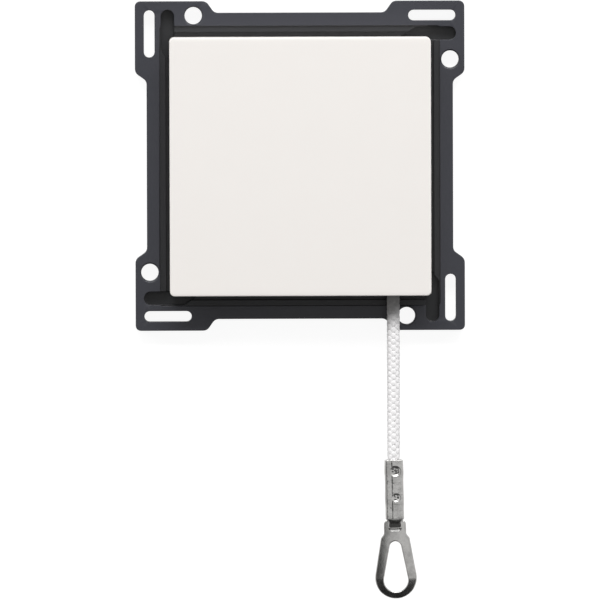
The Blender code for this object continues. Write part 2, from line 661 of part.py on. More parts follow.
# Pawl, its pin and its leaf: the tip pushes on a tooth's steep face when the lever is pulled
pawl_gap = math.degrees(0.00025 / tooth_root)
pawl_foot = tooth_root + 0.00035
pawl_outline = [polar(pawl_foot, FACE_ANGLE + pawl_gap),
                polar(ratchet_radius + 0.0011, FACE_ANGLE + 0.75 * pawl_gap)]
pawl_outline += arc(pawl_at, PAWL_EYE / 2, 72, 262, 10)
pawl_outline += [polar(ratchet_radius + 0.0005, FACE_ANGLE + PULL_ANGLE)]
pawl = slab("pawl", pawl_outline, wheel_front + 0.0001, wheel_back - 0.0001)
cut(pawl, turned("bore", pawl_at, [(PAWL_PIN_DIAMETER / 2 + RUN_GAP, wheel_front - 0.001),
                                   (PAWL_PIN_DIAMETER / 2 + RUN_GAP, wheel_back + 0.001)], "Y", 16))
finish(pawl, "sintered_steel", (0.35, 0.35, 0.36), 0.4, 1.0)
pawl_pin = turned("pawl_pin", pawl_at, [(PAWL_PIN_DIAMETER / 2, web_front - 0.0001),
                                        (PAWL_PIN_DIAMETER / 2, wheel_back)], "Y", 16)
finish(pawl_pin, "steel", steel, 0.3, 1.0)
leaf_end = polar(ratchet_radius + 0.0033, 113)
leaf_path = [lug_at, (lug_at[0] - 0.0016, lug_at[1]),
             (0.55 * lug_at[0] + 0.45 * leaf_end[0] - 0.0006, 0.7 * lug_at[1] + 0.3 * leaf_end[1]), leaf_end]
pawl_spring = slab("pawl_spring", ribbon(leaf_path, LEAF_THICKNESS),
                   wheel_front + 0.0003, wheel_back - 0.0003)
finish(pawl_spring, "spring_steel", steel, 0.3, 1.0)

# Detent spring: a leaf in the lid's block that stops the ratchet from turning back
tip = polar(tooth_root + 0.00045, FACE_ANGLE - 180 + 1.6 * pawl_gap)
knee = polar(ratchet_radius + 0.0012, FACE_ANGLE - 170)
leaf_path = [tip, knee, (0.5 * (knee[0] + block_at[0]), 0.35 * knee[1] + 0.65 * block_at[1]),
             (block_at[0] - 0.0018, block_at[1]), (block_at[0] + 0.0005, block_at[1])]
detent_spring = slab("detent_spring", ribbon(leaf_path, LEAF_THICKNESS),
                     wheel_front + 0.0003, wheel_back - 0.0003)
finish(detent_spring, "spring_steel", steel, 0.3, 1.0)

# Return spring: an extension coil hooked on the lever's tail peg and on the lid's post
hook = SPRING_PEG / 2 + SPRING_WIRE / 2 + SEAT_GAP
coil_top = tail_at[1] - hook
coil_bottom = anchor_at[1] + hook
lead_in = 0.0009
points = []
for x, z in arc(tail_at, hook, -20, 270, 9):
    points.append((x, spring_y, z))
coil_length = coil_top - coil_bottom - 2 * lead_in
steps = 9 * SPRING_TURNS
for index in range(1, 4):
    part = index / 4
    angle = math.pi / 2 * part
    points.append((tail_at[0] + SPRING_COIL * part * math.cos(angle),
                   spring_y + SPRING_COIL * part * math.sin(angle), coil_top - lead_in * part))
for index in range(steps + 1):
    angle = math.pi / 2 + 2 * math.pi * SPRING_TURNS * index / steps
    points.append((tail_at[0] + SPRING_COIL * math.cos(angle), spring_y + SPRING_COIL * math.sin(angle),
                   coil_top - lead_in - coil_length * index / steps))
for index in range(1, 4):
    part = 1 - index / 4
    angle = math.pi - math.pi / 2 * part
    points.append((tail_at[0] + SPRING_COIL * part * math.cos(angle),
                   spring_y + SPRING_COIL * part * math.sin(angle), coil_bottom + lead_in * part))
for x, z in arc(anchor_at, hook, 90, -200, 9):
    points.append((x, spring_y, z))
return_spring = tube("return_spring", points, SPRING_WIRE / 2, resolution=1)
print_least_gap("return_spring", points, SPRING_WIRE)
finish(return_spring, "spring_steel", steel, 0.3, 1.0)

# Contact arm, its rivet and its pin: brass blade with a nose on the cam
arm_outline = [(arm_left, arm_z + ARM_SHANK)]
arm_outline += arc((arm_x, arm_z), ARM_EYE / 2, 125, 415, 14)
arm_outline += [(arm_right, arm_z + ARM_SHANK), (arm_right, PIVOT_Z - NOSE_BASE / 2),
                (nose_x, PIVOT_Z - NOSE_FLAT / 2), (nose_x, PIVOT_Z + NOSE_FLAT / 2),
                (arm_right, PIVOT_Z + NOSE_BASE / 2), (arm_right, contact_z + ARM_TIP),
                (arm_left, contact_z + ARM_TIP)]
contact_arm = slab("contact_arm", arm_outline, arm_front, arm_back)
rivet_radius = CONTACT_DIAMETER / 4
cut(contact_arm,
    turned("pin_bore", (arm_x, arm_z), [(ARM_PIN_DIAMETER / 2 + RUN_GAP, arm_front - 0.001),
                                        (ARM_PIN_DIAMETER / 2 + RUN_GAP, arm_back + 0.001)], "Y", 16),
    turned("rivet_bore", (coil_y, contact_z), [(rivet_radius + RUN_GAP, arm_left - 0.001),
                                               (rivet_radius + RUN_GAP, arm_right + 0.001)], "X", 16))
finish(contact_arm, "brass", brass, 0.3, 1.0)
moving_contact = turned("moving_contact", (coil_y, contact_z),
                        [(CONTACT_DIAMETER / 2 - 0.0004, moving_face),
                         (CONTACT_DIAMETER / 2, moving_face + 0.0003),
                         (CONTACT_DIAMETER / 2, moving_face + CONTACT_HEAD),
                         (rivet_radius, moving_face + CONTACT_HEAD), (rivet_radius, arm_right)], "X", 20)
finish(moving_contact, "silver", (0.85, 0.84, 0.82), 0.25, 1.0)
clevis_front = arm_front - SEAT_GAP - CLEVIS_SHEET
clevis_back = arm_back + SEAT_GAP + CLEVIS_SHEET
arm_pin = turned("arm_pin", (arm_x, arm_z), [(ARM_PIN_DIAMETER / 2, clevis_front - 0.0001),
                                             (ARM_PIN_DIAMETER / 2, clevis_back + 0.0001)], "Y", 16)
finish(arm_pin, "steel", steel, 0.3, 1.0)

# Contact spring: a compression coil from the housing's rib to the arm
points = []
coil_end = arm_left - SEAT_GAP - CONTACT_WIRE / 2
coil_start = spring_seat + CONTACT_WIRE / 2
for index in range(9 * CONTACT_TURNS + 1):
    part = index / (9 * CONTACT_TURNS)
    angle = 2 * math.pi * CONTACT_TURNS * part
    points.append((coil_start + (coil_end - coil_start) * part, coil_y + CONTACT_COIL * math.cos(angle),
                   coil_z + CONTACT_COIL * math.sin(angle)))
contact_spring = tube("contact_spring", points, CONTACT_WIRE / 2, resolution=1)
print_least_gap("contact_spring", points, CONTACT_WIRE)
finish(contact_spring, "spring_steel", steel, 0.3, 1.0)

# Terminals: brass blocks with a wire hole, one with the fixed blade and one with the arm's clevis
line_outline = [(terminal_left, terminal_front), (terminal_right, terminal_front),
                (blade_left, terminal_front), (blade_left, arm_front), (blade_right, arm_front),
                (blade_right, terminal_front + 0.0010), (terminal_right, terminal_front + 0.0010),
                (terminal_right, terminal_back), (terminal_left, terminal_back)]
line_terminal = slab("line_terminal", line_outline, contact_z - TERMINAL_SIDE / 2,
                     contact_z + TERMINAL_SIDE / 2, "Z")
web_right = arm_left - 0.0034
web_left = web_right - CLEVIS_SHEET
ear_end = arm_x + ARM_EYE / 2
common_outline = [(terminal_left, terminal_front), (web_left, terminal_front), (web_left, clevis_front),
                  (ear_end, clevis_front), (ear_end, clevis_front + CLEVIS_SHEET),
                  (web_right, clevis_front + CLEVIS_SHEET), (web_right, clevis_back - CLEVIS_SHEET),
                  (ear_end, clevis_back - CLEVIS_SHEET), (ear_end, clevis_back), (web_right, clevis_back),
                  (web_right, terminal_front + 0.0010), (terminal_right, terminal_front + 0.0010),
                  (terminal_right, terminal_back), (terminal_left, terminal_back)]
common_terminal = slab("common_terminal", common_outline, arm_z - TERMINAL_SIDE / 2,
                       arm_z + TERMINAL_SIDE / 2, "Z")
cut(common_terminal, turned("pin_bore", (arm_x, arm_z),
                            [(ARM_PIN_DIAMETER / 2 + RUN_GAP, clevis_front - 0.001),
                             (ARM_PIN_DIAMETER / 2 + RUN_GAP, clevis_back + 0.001)], "Y", 16))
cut(line_terminal, turned("rivet_bore", (coil_y, contact_z),
                          [(rivet_radius + RUN_GAP, blade_left - 0.001),
                           (rivet_radius + RUN_GAP, blade_right + 0.001)], "X", 16))
for piece, height in ((line_terminal, contact_z), (common_terminal, arm_z)):
    cut(piece,
        turned("wire_hole", (terminal_x, height), [(WIRE_HOLE / 2, terminal_back + 0.001),
                                                   (WIRE_HOLE / 2, terminal_front + 0.0025)]),
        turned("screw_hole", (terminal_y, height), [(SCREW_DIAMETER / 2 + RUN_GAP, terminal_left - 0.001),
                                                    (SCREW_DIAMETER / 2 + RUN_GAP, terminal_x)], "X", 20))
    finish(piece, "brass", brass, 0.3, 1.0)
    clamp_screw = screw(f"{piece.name}_screw", (terminal_y, height), terminal_x - 0.0005,
                        terminal_left - SEAT_GAP, terminal_left - SEAT_GAP - SCREW_HEIGHT,
                        SCREW_DIAMETER, SCREW_HEAD, "X")
    finish(clamp_screw, "zinc_plated_steel", steel, 0.35, 1.0)
fixed_contact = turned("fixed_contact", (coil_y, contact_z),
                       [(CONTACT_DIAMETER / 2 - 0.0004, fixed_face),
                        (CONTACT_DIAMETER / 2, fixed_face - 0.0003),
                        (CONTACT_DIAMETER / 2, fixed_face - CONTACT_HEAD),
                        (rivet_radius, fixed_face - CONTACT_HEAD), (rivet_radius, blade_left)], "X", 20)
finish(fixed_contact, "silver", (0.85, 0.84, 0.82), 0.25, 1.0)

# Screws: two hold the housing to the plate and two hold the lid to the housing
for label, side in (("top", 1), ("bottom", -1)):
    housing_screw = screw(f"housing_screw_{label}", (0, side * screw_z), 0.0058, floor_front - SEAT_GAP,
                          floor_front - SEAT_GAP - SCREW_HEIGHT, SCREW_DIAMETER, SCREW_HEAD)
    finish(housing_screw, "zinc_plated_steel", steel, 0.35, 1.0)
    lid_screw = screw(f"lid_screw_{label}", (LID_SCREW_X, side * lid_screw_z), housing_front + 0.0070,
                      lid_front + 0.0008 - RUN_GAP, lid_front, 0.0018, 0.0036)
    finish(lid_screw, "zinc_plated_steel", steel, 0.35, 1.0)

# Cord: the lead in the lever's groove with its knot, and the stretch that hangs to the clamp
lead_end = KNOT_ANGLE - math.degrees((KNOT_DIAMETER / 2 + SEAT_GAP) / GROOVE_RADIUS)
points = [(x, cord_y, z) for x, z in arc((PIVOT_X, PIVOT_Z), GROOVE_RADIUS, 1.2, lead_end, 7)]
cord_lead = tube("cord_lead", points, cord_radius)
finish(cord_lead, "braided_polyester", (0.85, 0.85, 0.84), 0.8)
profile = []
for step in range(1, 8):
    angle = math.radians(22.5 * step)
    profile.append((KNOT_DIAMETER / 2 * math.sin(angle), cord_y - KNOT_DIAMETER / 2 * math.cos(angle)))
cord_knot = turned("cord_knot", knot_at, profile, "Y", 16)
finish(cord_knot, "braided_polyester", (0.85, 0.85, 0.84), 0.8)
cord_top = PIVOT_Z - 0.0001
neck = clamp_top + 0.0024
points = []
factors = []
for step in range(11):
    points.append((cord_x, cord_y, cord_top + (neck - cord_top) * step / 10))
    factors.append(1.0)
squeeze = CORD_SQUEEZED / CORD_DIAMETER
for drop, factor in ((-0.0012, 0.92), (-0.0003, 0.74), (0.0010, squeeze), (0.5 * CORD_GRIP, squeeze),
                     (CORD_GRIP, squeeze)):
    points.append((cord_x + max(drop, 0) * math.tan(FITTING_LEAN), cord_y, clamp_top - drop))
    factors.append(factor)
cord = tube("cord", points, cord_radius, factors)
finish(cord, "braided_polyester", (0.85, 0.85, 0.84), 0.8)

# Cord clamp: a folded plated strap, crimped on the cord by two dents on each face
outside = rounded_square(CLAMP_WIDTH / 2, CLAMP_DEPTH / 2, 0.0011, (cord_x, cord_y))
inside = rounded_square(CLAMP_WIDTH / 2 - CLAMP_WALL, CLAMP_DEPTH / 2 - CLAMP_WALL, 0.00065, (cord_x, cord_y))
clamp_bottom = clamp_top - CLAMP_LENGTH
clamp_rings = [place(outside, clamp_top, "Z"), place(outside, clamp_bottom, "Z"),
               place(inside, clamp_bottom, "Z"), place(inside, clamp_top, "Z")]
cord_clamp = loft("cord_clamp", clamp_rings, closed=True)
fold_middle = FOLD_RADIUS + STRAP_THICKNESS / 2
leg = CLAMP_DEPTH / 2 - CLAMP_WALL / 2
strap_path = [(cord_y - leg, clamp_bottom + 0.0014), (cord_y - leg, clamp_bottom + 0.0003)]
strap_path += arc((cord_y, fold_z), fold_middle, 180, 360, 12)
strap_path += [(cord_y + leg, clamp_bottom + 0.0003), (cord_y + leg, clamp_bottom + 0.0014)]
fuse(cord_clamp, slab("strap", ribbon(strap_path, STRAP_THICKNESS), cord_x - STRAP_WIDTH / 2,
                      cord_x + STRAP_WIDTH / 2, "X"))
for share in (0.18, 0.63):
    for side in (-1, 1):
        face = cord_y + side * CLAMP_DEPTH / 2
        cut(cord_clamp, turned("dent", (cord_x, clamp_top - share * CLAMP_LENGTH),
                               [(DENT_DIAMETER / 4, face - side * DENT_DEPTH),
                                (3 * DENT_DIAMETER / 4, face + side * DENT_DEPTH)], "Y", 20))
seam = rectangle(cord_x - SEAM_SHIFT - SEAM_GAP / 2, clamp_bottom + 0.0018,
                 cord_x - SEAM_SHIFT + SEAM_GAP / 2, clamp_top + 0.001)
cut(cord_clamp, slab("seam", seam, cord_y - CLAMP_DEPTH, cord_y - CLAMP_DEPTH / 2 + CLAMP_WALL + 0.0001))
finish(cord_clamp, "nickel_plated_steel", (0.60, 0.59, 0.57), 0.25, 1.0)

# Pull ring: a stamped teardrop whose bar turns in the strap's fold
ring_top = fold_z + RING_BAR / 2
ring_bottom = ring_top - RING_LENGTH
bow = RING_WIDTH / 2
bow_z = ring_bottom + bow
shoulder_z = ring_top - 0.0038
reach = math.hypot(RING_SHOULDER / 2, shoulder_z - bow_z)
toe = math.degrees(math.atan2(shoulder_z - bow_z, RING_SHOULDER / 2) - math.acos(bow / reach))
side_points = [(RING_SHOULDER / 2, shoulder_z), (RING_NECK / 2, shoulder_z + 0.0009)]
side_points += arc((RING_NECK / 2 - 0.0008, ring_top - 0.0008), 0.0008, 0, 90, 4)
ring_outline = arc((0, bow_z), bow, 180 - toe, 360 + toe, 28)
ring_outline += side_points + [(-x, z) for x, z in reversed(side_points)]
ring_outline = [(cord_x + x, z) for x, z in ring_outline]
pull_ring = slab("pull_ring", ring_outline, cord_y - RING_THICKNESS / 2, cord_y + RING_THICKNESS / 2)
crown_z = ring_top - RING_HOLE_TOP - RING_HOLE_CROWN
belly = RING_HOLE_WIDTH / 2
belly_z = ring_bottom + RING_FOOT + belly
lean = math.degrees(math.asin((belly - RING_HOLE_CROWN) / (crown_z - belly_z)))
hole = arc((cord_x, crown_z), RING_HOLE_CROWN, lean, 180 - lean, 10)
hole += arc((cord_x, belly_z), belly, 180 - lean, 360 + lean, 24)
eye_top = fold_z - RING_BAR / 2
eye_bottom = fold_z - FOLD_RADIUS - STRAP_THICKNESS - SEAT_GAP
eye_half = (eye_top - eye_bottom) / 2
eye = rounded_square(STRAP_WIDTH / 2 + SEAT_GAP, eye_half, 0.9 * eye_half,
                     (cord_x, (eye_top + eye_bottom) / 2))
for outline in (hole, eye):
    cut(pull_ring, slab("hole", outline, cord_y - RING_THICKNESS, cord_y + RING_THICKNESS))
finish(pull_ring, "nickel_plated_steel", (0.60, 0.59, 0.57), 0.25, 1.0)

# The clamp and the ring hang a little out of line with the cord
for piece in (cord_clamp, pull_ring):
    for vertex in piece.data.vertices:
        across = vertex.co.x - cord_x
        down = vertex.co.z - clamp_top
        vertex.co.x = cord_x + across * math.cos(FITTING_LEAN) - down * math.sin(FITTING_LEAN)
        vertex.co.z = clamp_top + across * math.sin(FITTING_LEAN) + down * math.cos(FITTING_LEAN)

# Joints: an empty on each axis carries the pieces that move together
fold_drop = clamp_top - fold_z
fold_at = (cord_x + fold_drop * math.sin(FITTING_LEAN), cord_y,
           clamp_top - fold_drop * math.cos(FITTING_LEAN))
joint("cord_slide", (cord_x, cord_y, cord_top), [cord, cord_clamp])
joint("ring_axis", fold_at, [pull_ring])
joint("lever_axis", (PIVOT_X, 0, PIVOT_Z), [pull_lever, cord_lead, cord_knot, pawl_pin, pawl_spring])
joint("ratchet_axis", (PIVOT_X, 0, PIVOT_Z), [ratchet_wheel, cam])
joint("pawl_axis", (pawl_at[0], 0, pawl_at[1]), [pawl])
joint("arm_axis", (arm_x, 0, arm_z), [contact_arm, moving_contact])
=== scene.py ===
"""Looks of a pull cord switch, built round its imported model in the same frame, in metres."""

import json
import math

import bmesh
import bpy
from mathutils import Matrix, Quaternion, Vector, noise

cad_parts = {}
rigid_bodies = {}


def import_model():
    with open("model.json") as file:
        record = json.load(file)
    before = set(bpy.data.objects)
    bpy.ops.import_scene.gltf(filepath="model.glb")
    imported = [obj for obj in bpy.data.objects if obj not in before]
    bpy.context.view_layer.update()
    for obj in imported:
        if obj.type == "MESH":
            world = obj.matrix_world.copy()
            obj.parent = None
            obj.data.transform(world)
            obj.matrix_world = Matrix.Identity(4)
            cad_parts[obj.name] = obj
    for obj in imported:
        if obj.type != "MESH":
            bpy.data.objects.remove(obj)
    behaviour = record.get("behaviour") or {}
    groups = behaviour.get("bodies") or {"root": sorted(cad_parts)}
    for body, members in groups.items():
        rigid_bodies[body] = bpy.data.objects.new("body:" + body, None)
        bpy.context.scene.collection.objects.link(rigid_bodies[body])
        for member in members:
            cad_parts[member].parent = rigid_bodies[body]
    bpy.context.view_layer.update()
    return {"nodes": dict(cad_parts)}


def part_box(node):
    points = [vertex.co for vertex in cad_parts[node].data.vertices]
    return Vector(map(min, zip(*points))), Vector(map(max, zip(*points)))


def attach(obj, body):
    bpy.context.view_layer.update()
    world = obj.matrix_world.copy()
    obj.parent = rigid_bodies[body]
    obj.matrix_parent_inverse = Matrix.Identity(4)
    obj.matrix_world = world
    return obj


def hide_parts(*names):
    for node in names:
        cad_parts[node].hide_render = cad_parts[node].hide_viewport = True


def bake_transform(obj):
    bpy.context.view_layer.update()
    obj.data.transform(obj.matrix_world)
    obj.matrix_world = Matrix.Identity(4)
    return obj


for old in list(bpy.data.objects):
    bpy.data.objects.remove(old)
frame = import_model()


# Frame plate
# The anthracite plate on the wall, injection moulded in one piece with its ears and the collar
# that carries the cover. The slots and holes at its corners take the screws of a wall box.
PLATE_EDGE = 0.00010
PLATE_FACE = -0.0029
PLATE_SUNK = -0.0026
MERGE_DISTANCE = 2e-6
SHARP_ANGLE = math.radians(32)
FLAT_DISTANCE = 1e-6
FOLD_COSINE = 0.9


def linear(colour):
    """An sRGB hex colour as linear values with full alpha."""
    values = []
    for place in (1, 3, 5):
        value = int(colour[place:place + 2], 16) / 255
        values.append(value / 12.92 if value <= 0.04045 else ((value + 0.055) / 1.055) ** 2.4)
    return (*values, 1.0)


def add_node(tree, kind, settings=None, inputs=None):
    """Add a node with its settings, and link or set its inputs by name or place."""
    made = tree.nodes.new(kind)
    for name, value in (settings or {}).items():
        setattr(made, name, value)
    for key, value in (inputs or {}).items():
        if isinstance(value, bpy.types.NodeSocket):
            tree.links.new(value, made.inputs[key])
        else:
            made.inputs[key].default_value = value
    return made


def link_surface(tree, share, colours, grain, roughness, spread, strength, depth):
    """Link a tone between two colours, and gloss and relief from one grain, to a tree's shader."""
    shader = tree.nodes["Principled BSDF"]
    tone = add_node(tree, "ShaderNodeMix", {"data_type": "RGBA"},
                    {"Factor": share, 6: linear(colours[0]), 7: linear(colours[1])})
    # A noise keeps mostly between 0.3 and 0.7
    gloss = add_node(tree, "ShaderNodeMapRange",
                     inputs={"Value": grain, "From Min": 0.3, "From Max": 0.7,
                             "To Min": roughness - spread, "To Max": roughness + spread})
    relief = add_node(tree, "ShaderNodeBump",
                      inputs={"Height": grain, "Strength": strength, "Distance": depth})
    tree.links.new(tone.outputs[2], shader.inputs["Base Color"])
    tree.links.new(gloss.outputs["Result"], shader.inputs["Roughness"])
    tree.links.new(relief.outputs["Normal"], shader.inputs["Normal"])
    return shader


def new_material(name):
    """A new material, its node tree, and a socket for the place on the object."""
    material = bpy.data.materials.new(name)
    material.use_nodes = True
    place = add_node(material.node_tree, "ShaderNodeTexCoord").outputs["Object"]
    return material, material.node_tree, place


def moulded_plastic(name, colours, roughness, grit, depth, ior):
    """Moulded plastic: faint clouds in the tone, and the grit of a spark-eroded mould.

    The grit is given by its grain size and depth in millimetres.
    """
    material, tree, place = new_material(name)
    # Tone drifts over about 9 mm, as pigment and flow do in a moulding
    clouds = add_node(tree, "ShaderNodeTexNoise", inputs={"Vector": place, "Scale": 1000 / 9, "Detail": 3.0})
    grains = add_node(tree, "ShaderNodeTexNoise",
                      inputs={"Vector": place, "Scale": 1000 / grit, "Detail": 2.0, "Roughness": 0.6})
    shader = link_surface(tree, clouds.outputs["Fac"], colours, grains.outputs["Fac"],
                          roughness=roughness, spread=0.05, strength=0.6, depth=depth / 1000)
    shader.inputs["IOR"].default_value = ior
    return material


def placed(name, data):
    """Put a mesh, a light or a camera into the scene as an object."""
    made = bpy.data.objects.new(name, data)
    bpy.context.scene.collection.objects.link(made)
    return made


def settle(piece):
    """Turn a piece with its modifiers into a plain mesh."""
    depsgraph = bpy.context.evaluated_depsgraph_get()
    mesh = bpy.data.meshes.new_from_object(piece.evaluated_get(depsgraph))
    piece.modifiers.clear()
    piece.data = mesh


def fill_flats(mesh):
    """Fill a flat face anew where rounding its edges has folded some of its triangles over."""
    work = bmesh.new()
    work.from_mesh(mesh)
    strength = work.faces.layers.int["__mod_weightednormals_faceweight"]
    waiting = {face for face in work.faces if face[strength] > 0}
    folded = []
    for seed in sorted(waiting, key=lambda face: (-face.calc_area(), face.index)):
        if seed not in waiting:
            continue
        waiting.discard(seed)
        origin = seed.verts[0].co
        flat = [seed]
        for face in flat:
            for other in [other for side in face.edges for other in side.link_faces]:
                if other in waiting and all(abs((vertex.co - origin).dot(seed.normal)) < FLAT_DISTANCE
                                            for vertex in other.verts):
                    waiting.discard(other)
                    flat.append(other)
        if any(face.normal.dot(seed.normal) < FOLD_COSINE for face in flat):
            inside = set(flat)
            rim = [side for face in flat for side in face.edges
                   if sum(other in inside for other in side.link_faces) == 1]
            folded.append((flat, rim, seed.normal.copy(), seed[strength]))
    for flat, rim, normal, level in folded:
        bmesh.ops.delete(work, geom=flat, context="FACES")
        for made in bmesh.ops.triangle_fill(work, use_beauty=True, edges=rim, normal=normal)["geom"]:
            if isinstance(made, bmesh.types.BMFace):
                made[strength] = level
                made.smooth = True
    work.to_mesh(mesh)
    work.free()


def softened(node, name, edge, steps=3):
    """A merged copy of a CAD node, with its sharp edges rounded off as the maker's tool leaves them."""
    mesh = frame["nodes"][node].data.copy()
    mesh.materials.clear()
    if "custom_normal" in mesh.attributes:
        mesh.attributes.remove(mesh.attributes["custom_normal"])
    work = bmesh.new()
    work.from_mesh(mesh)
    bmesh.ops.remove_doubles(work, verts=work.verts, dist=MERGE_DISTANCE)
    bmesh.ops.dissolve_limit(work, angle_limit=math.radians(1), verts=work.verts, edges=work.edges)
    bmesh.ops.triangulate(work, faces=work.faces)
    work.to_mesh(mesh)
    work.free()
    mesh.shade_smooth()
    piece = placed(name, mesh)
    rounding = piece.modifiers.new("edges", "BEVEL")
    rounding.width = edge
    rounding.segments = steps
    rounding.limit_method = "ANGLE"
    rounding.angle_limit = SHARP_ANGLE
    rounding.use_clamp_overlap = False
    # The flat faces keep their own direction, and only the rounded edges turn
    rounding.face_strength_mode = "FSTR_ALL"
    settle(piece)
    fill_flats(piece.data)
    evened = piece.modifiers.new("evened", "WEIGHTED_NORMAL")
    evened.keep_sharp = True
    evened.use_face_influence = True
    settle(piece)
    return piece


def dress(piece, material, body, slot, *nodes):
    """Give a piece its material, and let it stand for its CAD nodes on their body."""
    piece.data.materials.clear()
    piece.data.materials.append(material)
    if body:
        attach(piece, body)
    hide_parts(*nodes)


def finished(node, name, edge, material, body, slot, steps=3):
    """Dress a softened copy of a CAD node to stand for that node."""
    dress(softened(node, name, edge, steps), material, body, slot, node)


# Polycarbonate with carbon black, from a finely eroded mould: dark, even, with a soft sheen
anthracite = moulded_plastic("anthracite_polycarbonate_moulded", ("#313239", "#2f3037"),
                             roughness=0.44, grit=0.16, depth=0.006, ior=1.55)
# Painted shade: the recess and the channels, behind the level of the front face, are mixed towards a darker
# tone where shade lies in them
tree = anthracite.node_tree
shader = tree.nodes["Principled BSDF"]
front_tone = shader.inputs["Base Color"].links[0].from_socket
place = add_node(tree, "ShaderNodeTexCoord").outputs["Object"]
level = add_node(tree, "ShaderNodeSeparateXYZ", inputs={"Vector": place}).outputs["Y"]
recess_shade_share = add_node(tree, "ShaderNodeMapRange",
                inputs={"Value": level, "From Min": PLATE_FACE, "From Max": PLATE_SUNK})
# The dark colour here is painted shade, not a different plastic
tone = add_node(tree, "ShaderNodeMix", {"data_type": "RGBA"},
                {"Factor": recess_shade_share.outputs["Result"], 6: front_tone, 7: linear("#1a1b1e")})
tree.links.new(tone.outputs[2], shader.inputs["Base Color"])
finished("frame_plate", "plate_moulding", PLATE_EDGE, anthracite, "base", "plate_plastic")


# Switch housing, with its screws
# The grey box behind the plate, moulded in one piece with its flange, bosses and posts.
# Two slotted screws through the plate hold its flange, under the cover.
HOUSING_EDGE = 0.00020
SCREW_EDGE = 0.00008


def worked_metal(name, colours, roughness, spread, grain, lines):
    """A metal surface: tarnish in faint patches, and polishing lines along one axis.

    The grain is the width of a line in millimetres, and lines is how much longer than wide it is.
    """
    material, tree, place = new_material(name)
    drawn = add_node(tree, "ShaderNodeMapping", inputs={"Vector": place, "Scale": (1.0, 1.0, 1.0 / lines)})
    streaks = add_node(tree, "ShaderNodeTexNoise",
                       inputs={"Vector": drawn.outputs["Vector"], "Scale": 1000 / grain, "Detail": 3.0})
    # Handling and storage dull the metal in patches of about 2.5 mm
    patches = add_node(tree, "ShaderNodeTexNoise",
                       inputs={"Vector": place, "Scale": 1000 / 2.5, "Detail": 4.0})
    spots = add_node(tree, "ShaderNodeMapRange",
                     inputs={"Value": patches.outputs["Fac"], "From Min": 0.42, "From Max": 0.72})
    shader = link_surface(tree, spots.outputs["Result"], colours, streaks.outputs["Fac"],
                          roughness=roughness, spread=spread, strength=0.25, depth=0.00001)
    shader.inputs["Metallic"].default_value = 1.0
    return material


# Polyester with mineral filler: light grey, matt, and a little chalky where the mould is rough
grey_polyester = moulded_plastic("grey_filled_polyester_moulded", ("#cfcfca", "#c6c6c1"),
                                 roughness=0.52, grit=0.22, depth=0.008, ior=1.57)
# Zinc plate under a clear passivation: bright grey with a cold cast
zinc_plate = worked_metal("zinc_plated_steel", ("#b9bcc0", "#9fa2a6"),
                          roughness=0.34, spread=0.07, grain=0.06, lines=3.0)
finished("switch_housing", "housing_moulding", HOUSING_EDGE, grey_polyester, "base", "housing_plastic")
for node in ("housing_screw_top", "housing_screw_bottom"):
    finished(node, f"{node}_turned", SCREW_EDGE, zinc_plate, "base", "steel")


# Terminals and contacts
# Two brass blocks with clamp screws, one with the fixed blade and one with a clevis for the
# stamped contact arm. Silver rivets, headed over in the brass, make and break the circuit.
BRASS_EDGE = 0.00010

# Rolled brass strip, cut and deburred: warm, with fine rolling lines
rolled_brass = worked_metal("rolled_brass_strip", ("#d9b566", "#b8924a"),
                            roughness=0.27, spread=0.07, grain=0.05, lines=9.0)
# Turned steel, lightly oiled: grey, with a close grain from the tool
turned_steel = worked_metal("turned_bright_steel", ("#b4b4b4", "#9a9a99"),
                            roughness=0.28, spread=0.06, grain=0.05, lines=1.0)
# Fine silver, pressed bright, with a little grey tarnish
fine_silver = worked_metal("headed_fine_silver", ("#e6e3dc", "#bdb9af"),
                           roughness=0.22, spread=0.06, grain=0.07, lines=1.0)
for node in ("line_terminal", "common_terminal"):
    finished(node, f"{node}_block", BRASS_EDGE, rolled_brass, "base", "brass")
    finished(f"{node}_screw", f"{node}_screw_turned", SCREW_EDGE, zinc_plate, "base", "steel")
finished("contact_arm", "contact_arm_stamping", BRASS_EDGE, rolled_brass, "contact", "brass")
finished("moving_contact", "moving_rivet", BRASS_EDGE, fine_silver, "contact", "silver")
finished("fixed_contact", "fixed_rivet", BRASS_EDGE, fine_silver, "base", "silver")
finished("arm_pin", "arm_pin_turned", SCREW_EDGE, turned_steel, "base", "steel")


# Contact spring
# A compression coil of bright spring wire between the housing's rib and the contact arm.
# It presses the arm's nose on the cam, and shortens as the cam pushes the arm over.
CONTACT_WIRE = 0.0004
CONTACT_COIL = 0.0015
CONTACT_TURNS = 5
CONTACT_STEPS = 28 * CONTACT_TURNS
CONTACT_CLOSING = 0.055
CONTACT_SEAT = -0.0110
CONTACT_END = -0.0049
CONTACT_Y = 0.0035
CONTACT_Z = -0.0040
WIRE_SIDES = 10

# Patented spring wire, drawn and oiled: darker than plate, with long drawing lines
spring_wire = worked_metal("drawn_spring_wire", ("#a2a3a6", "#86878a"),
                           roughness=0.26, spread=0.06, grain=0.04, lines=6.0)


def new_tree(name, kinds):
    """A geometry node tree that takes a route and these inputs, each given with its kind."""
    made = bpy.data.node_groups.new(name, "GeometryNodeTree")
    for socket, kind in {"Geometry": "Geometry", **kinds}.items():
        made.interface.new_socket(socket, in_out="INPUT", socket_type=f"NodeSocket{kind}")
    made.interface.new_socket("Geometry", in_out="OUTPUT", socket_type="NodeSocketGeometry")
    return made


def end_tree(tree, mesh, finish):
    """Smooth a tree's mesh, make it real, give it its finish and hand it out."""
    smooth = add_node(tree, "GeometryNodeSetShadeSmooth", inputs={"Geometry": mesh})
    real = add_node(tree, "GeometryNodeRealizeInstances", inputs={"Geometry": smooth.outputs["Geometry"]})
    coated = add_node(tree, "GeometryNodeSetMaterial",
                      inputs={"Geometry": real.outputs["Geometry"], "Material": finish})
    add_node(tree, "NodeGroupOutput", inputs={"Geometry": coated.outputs["Geometry"]})


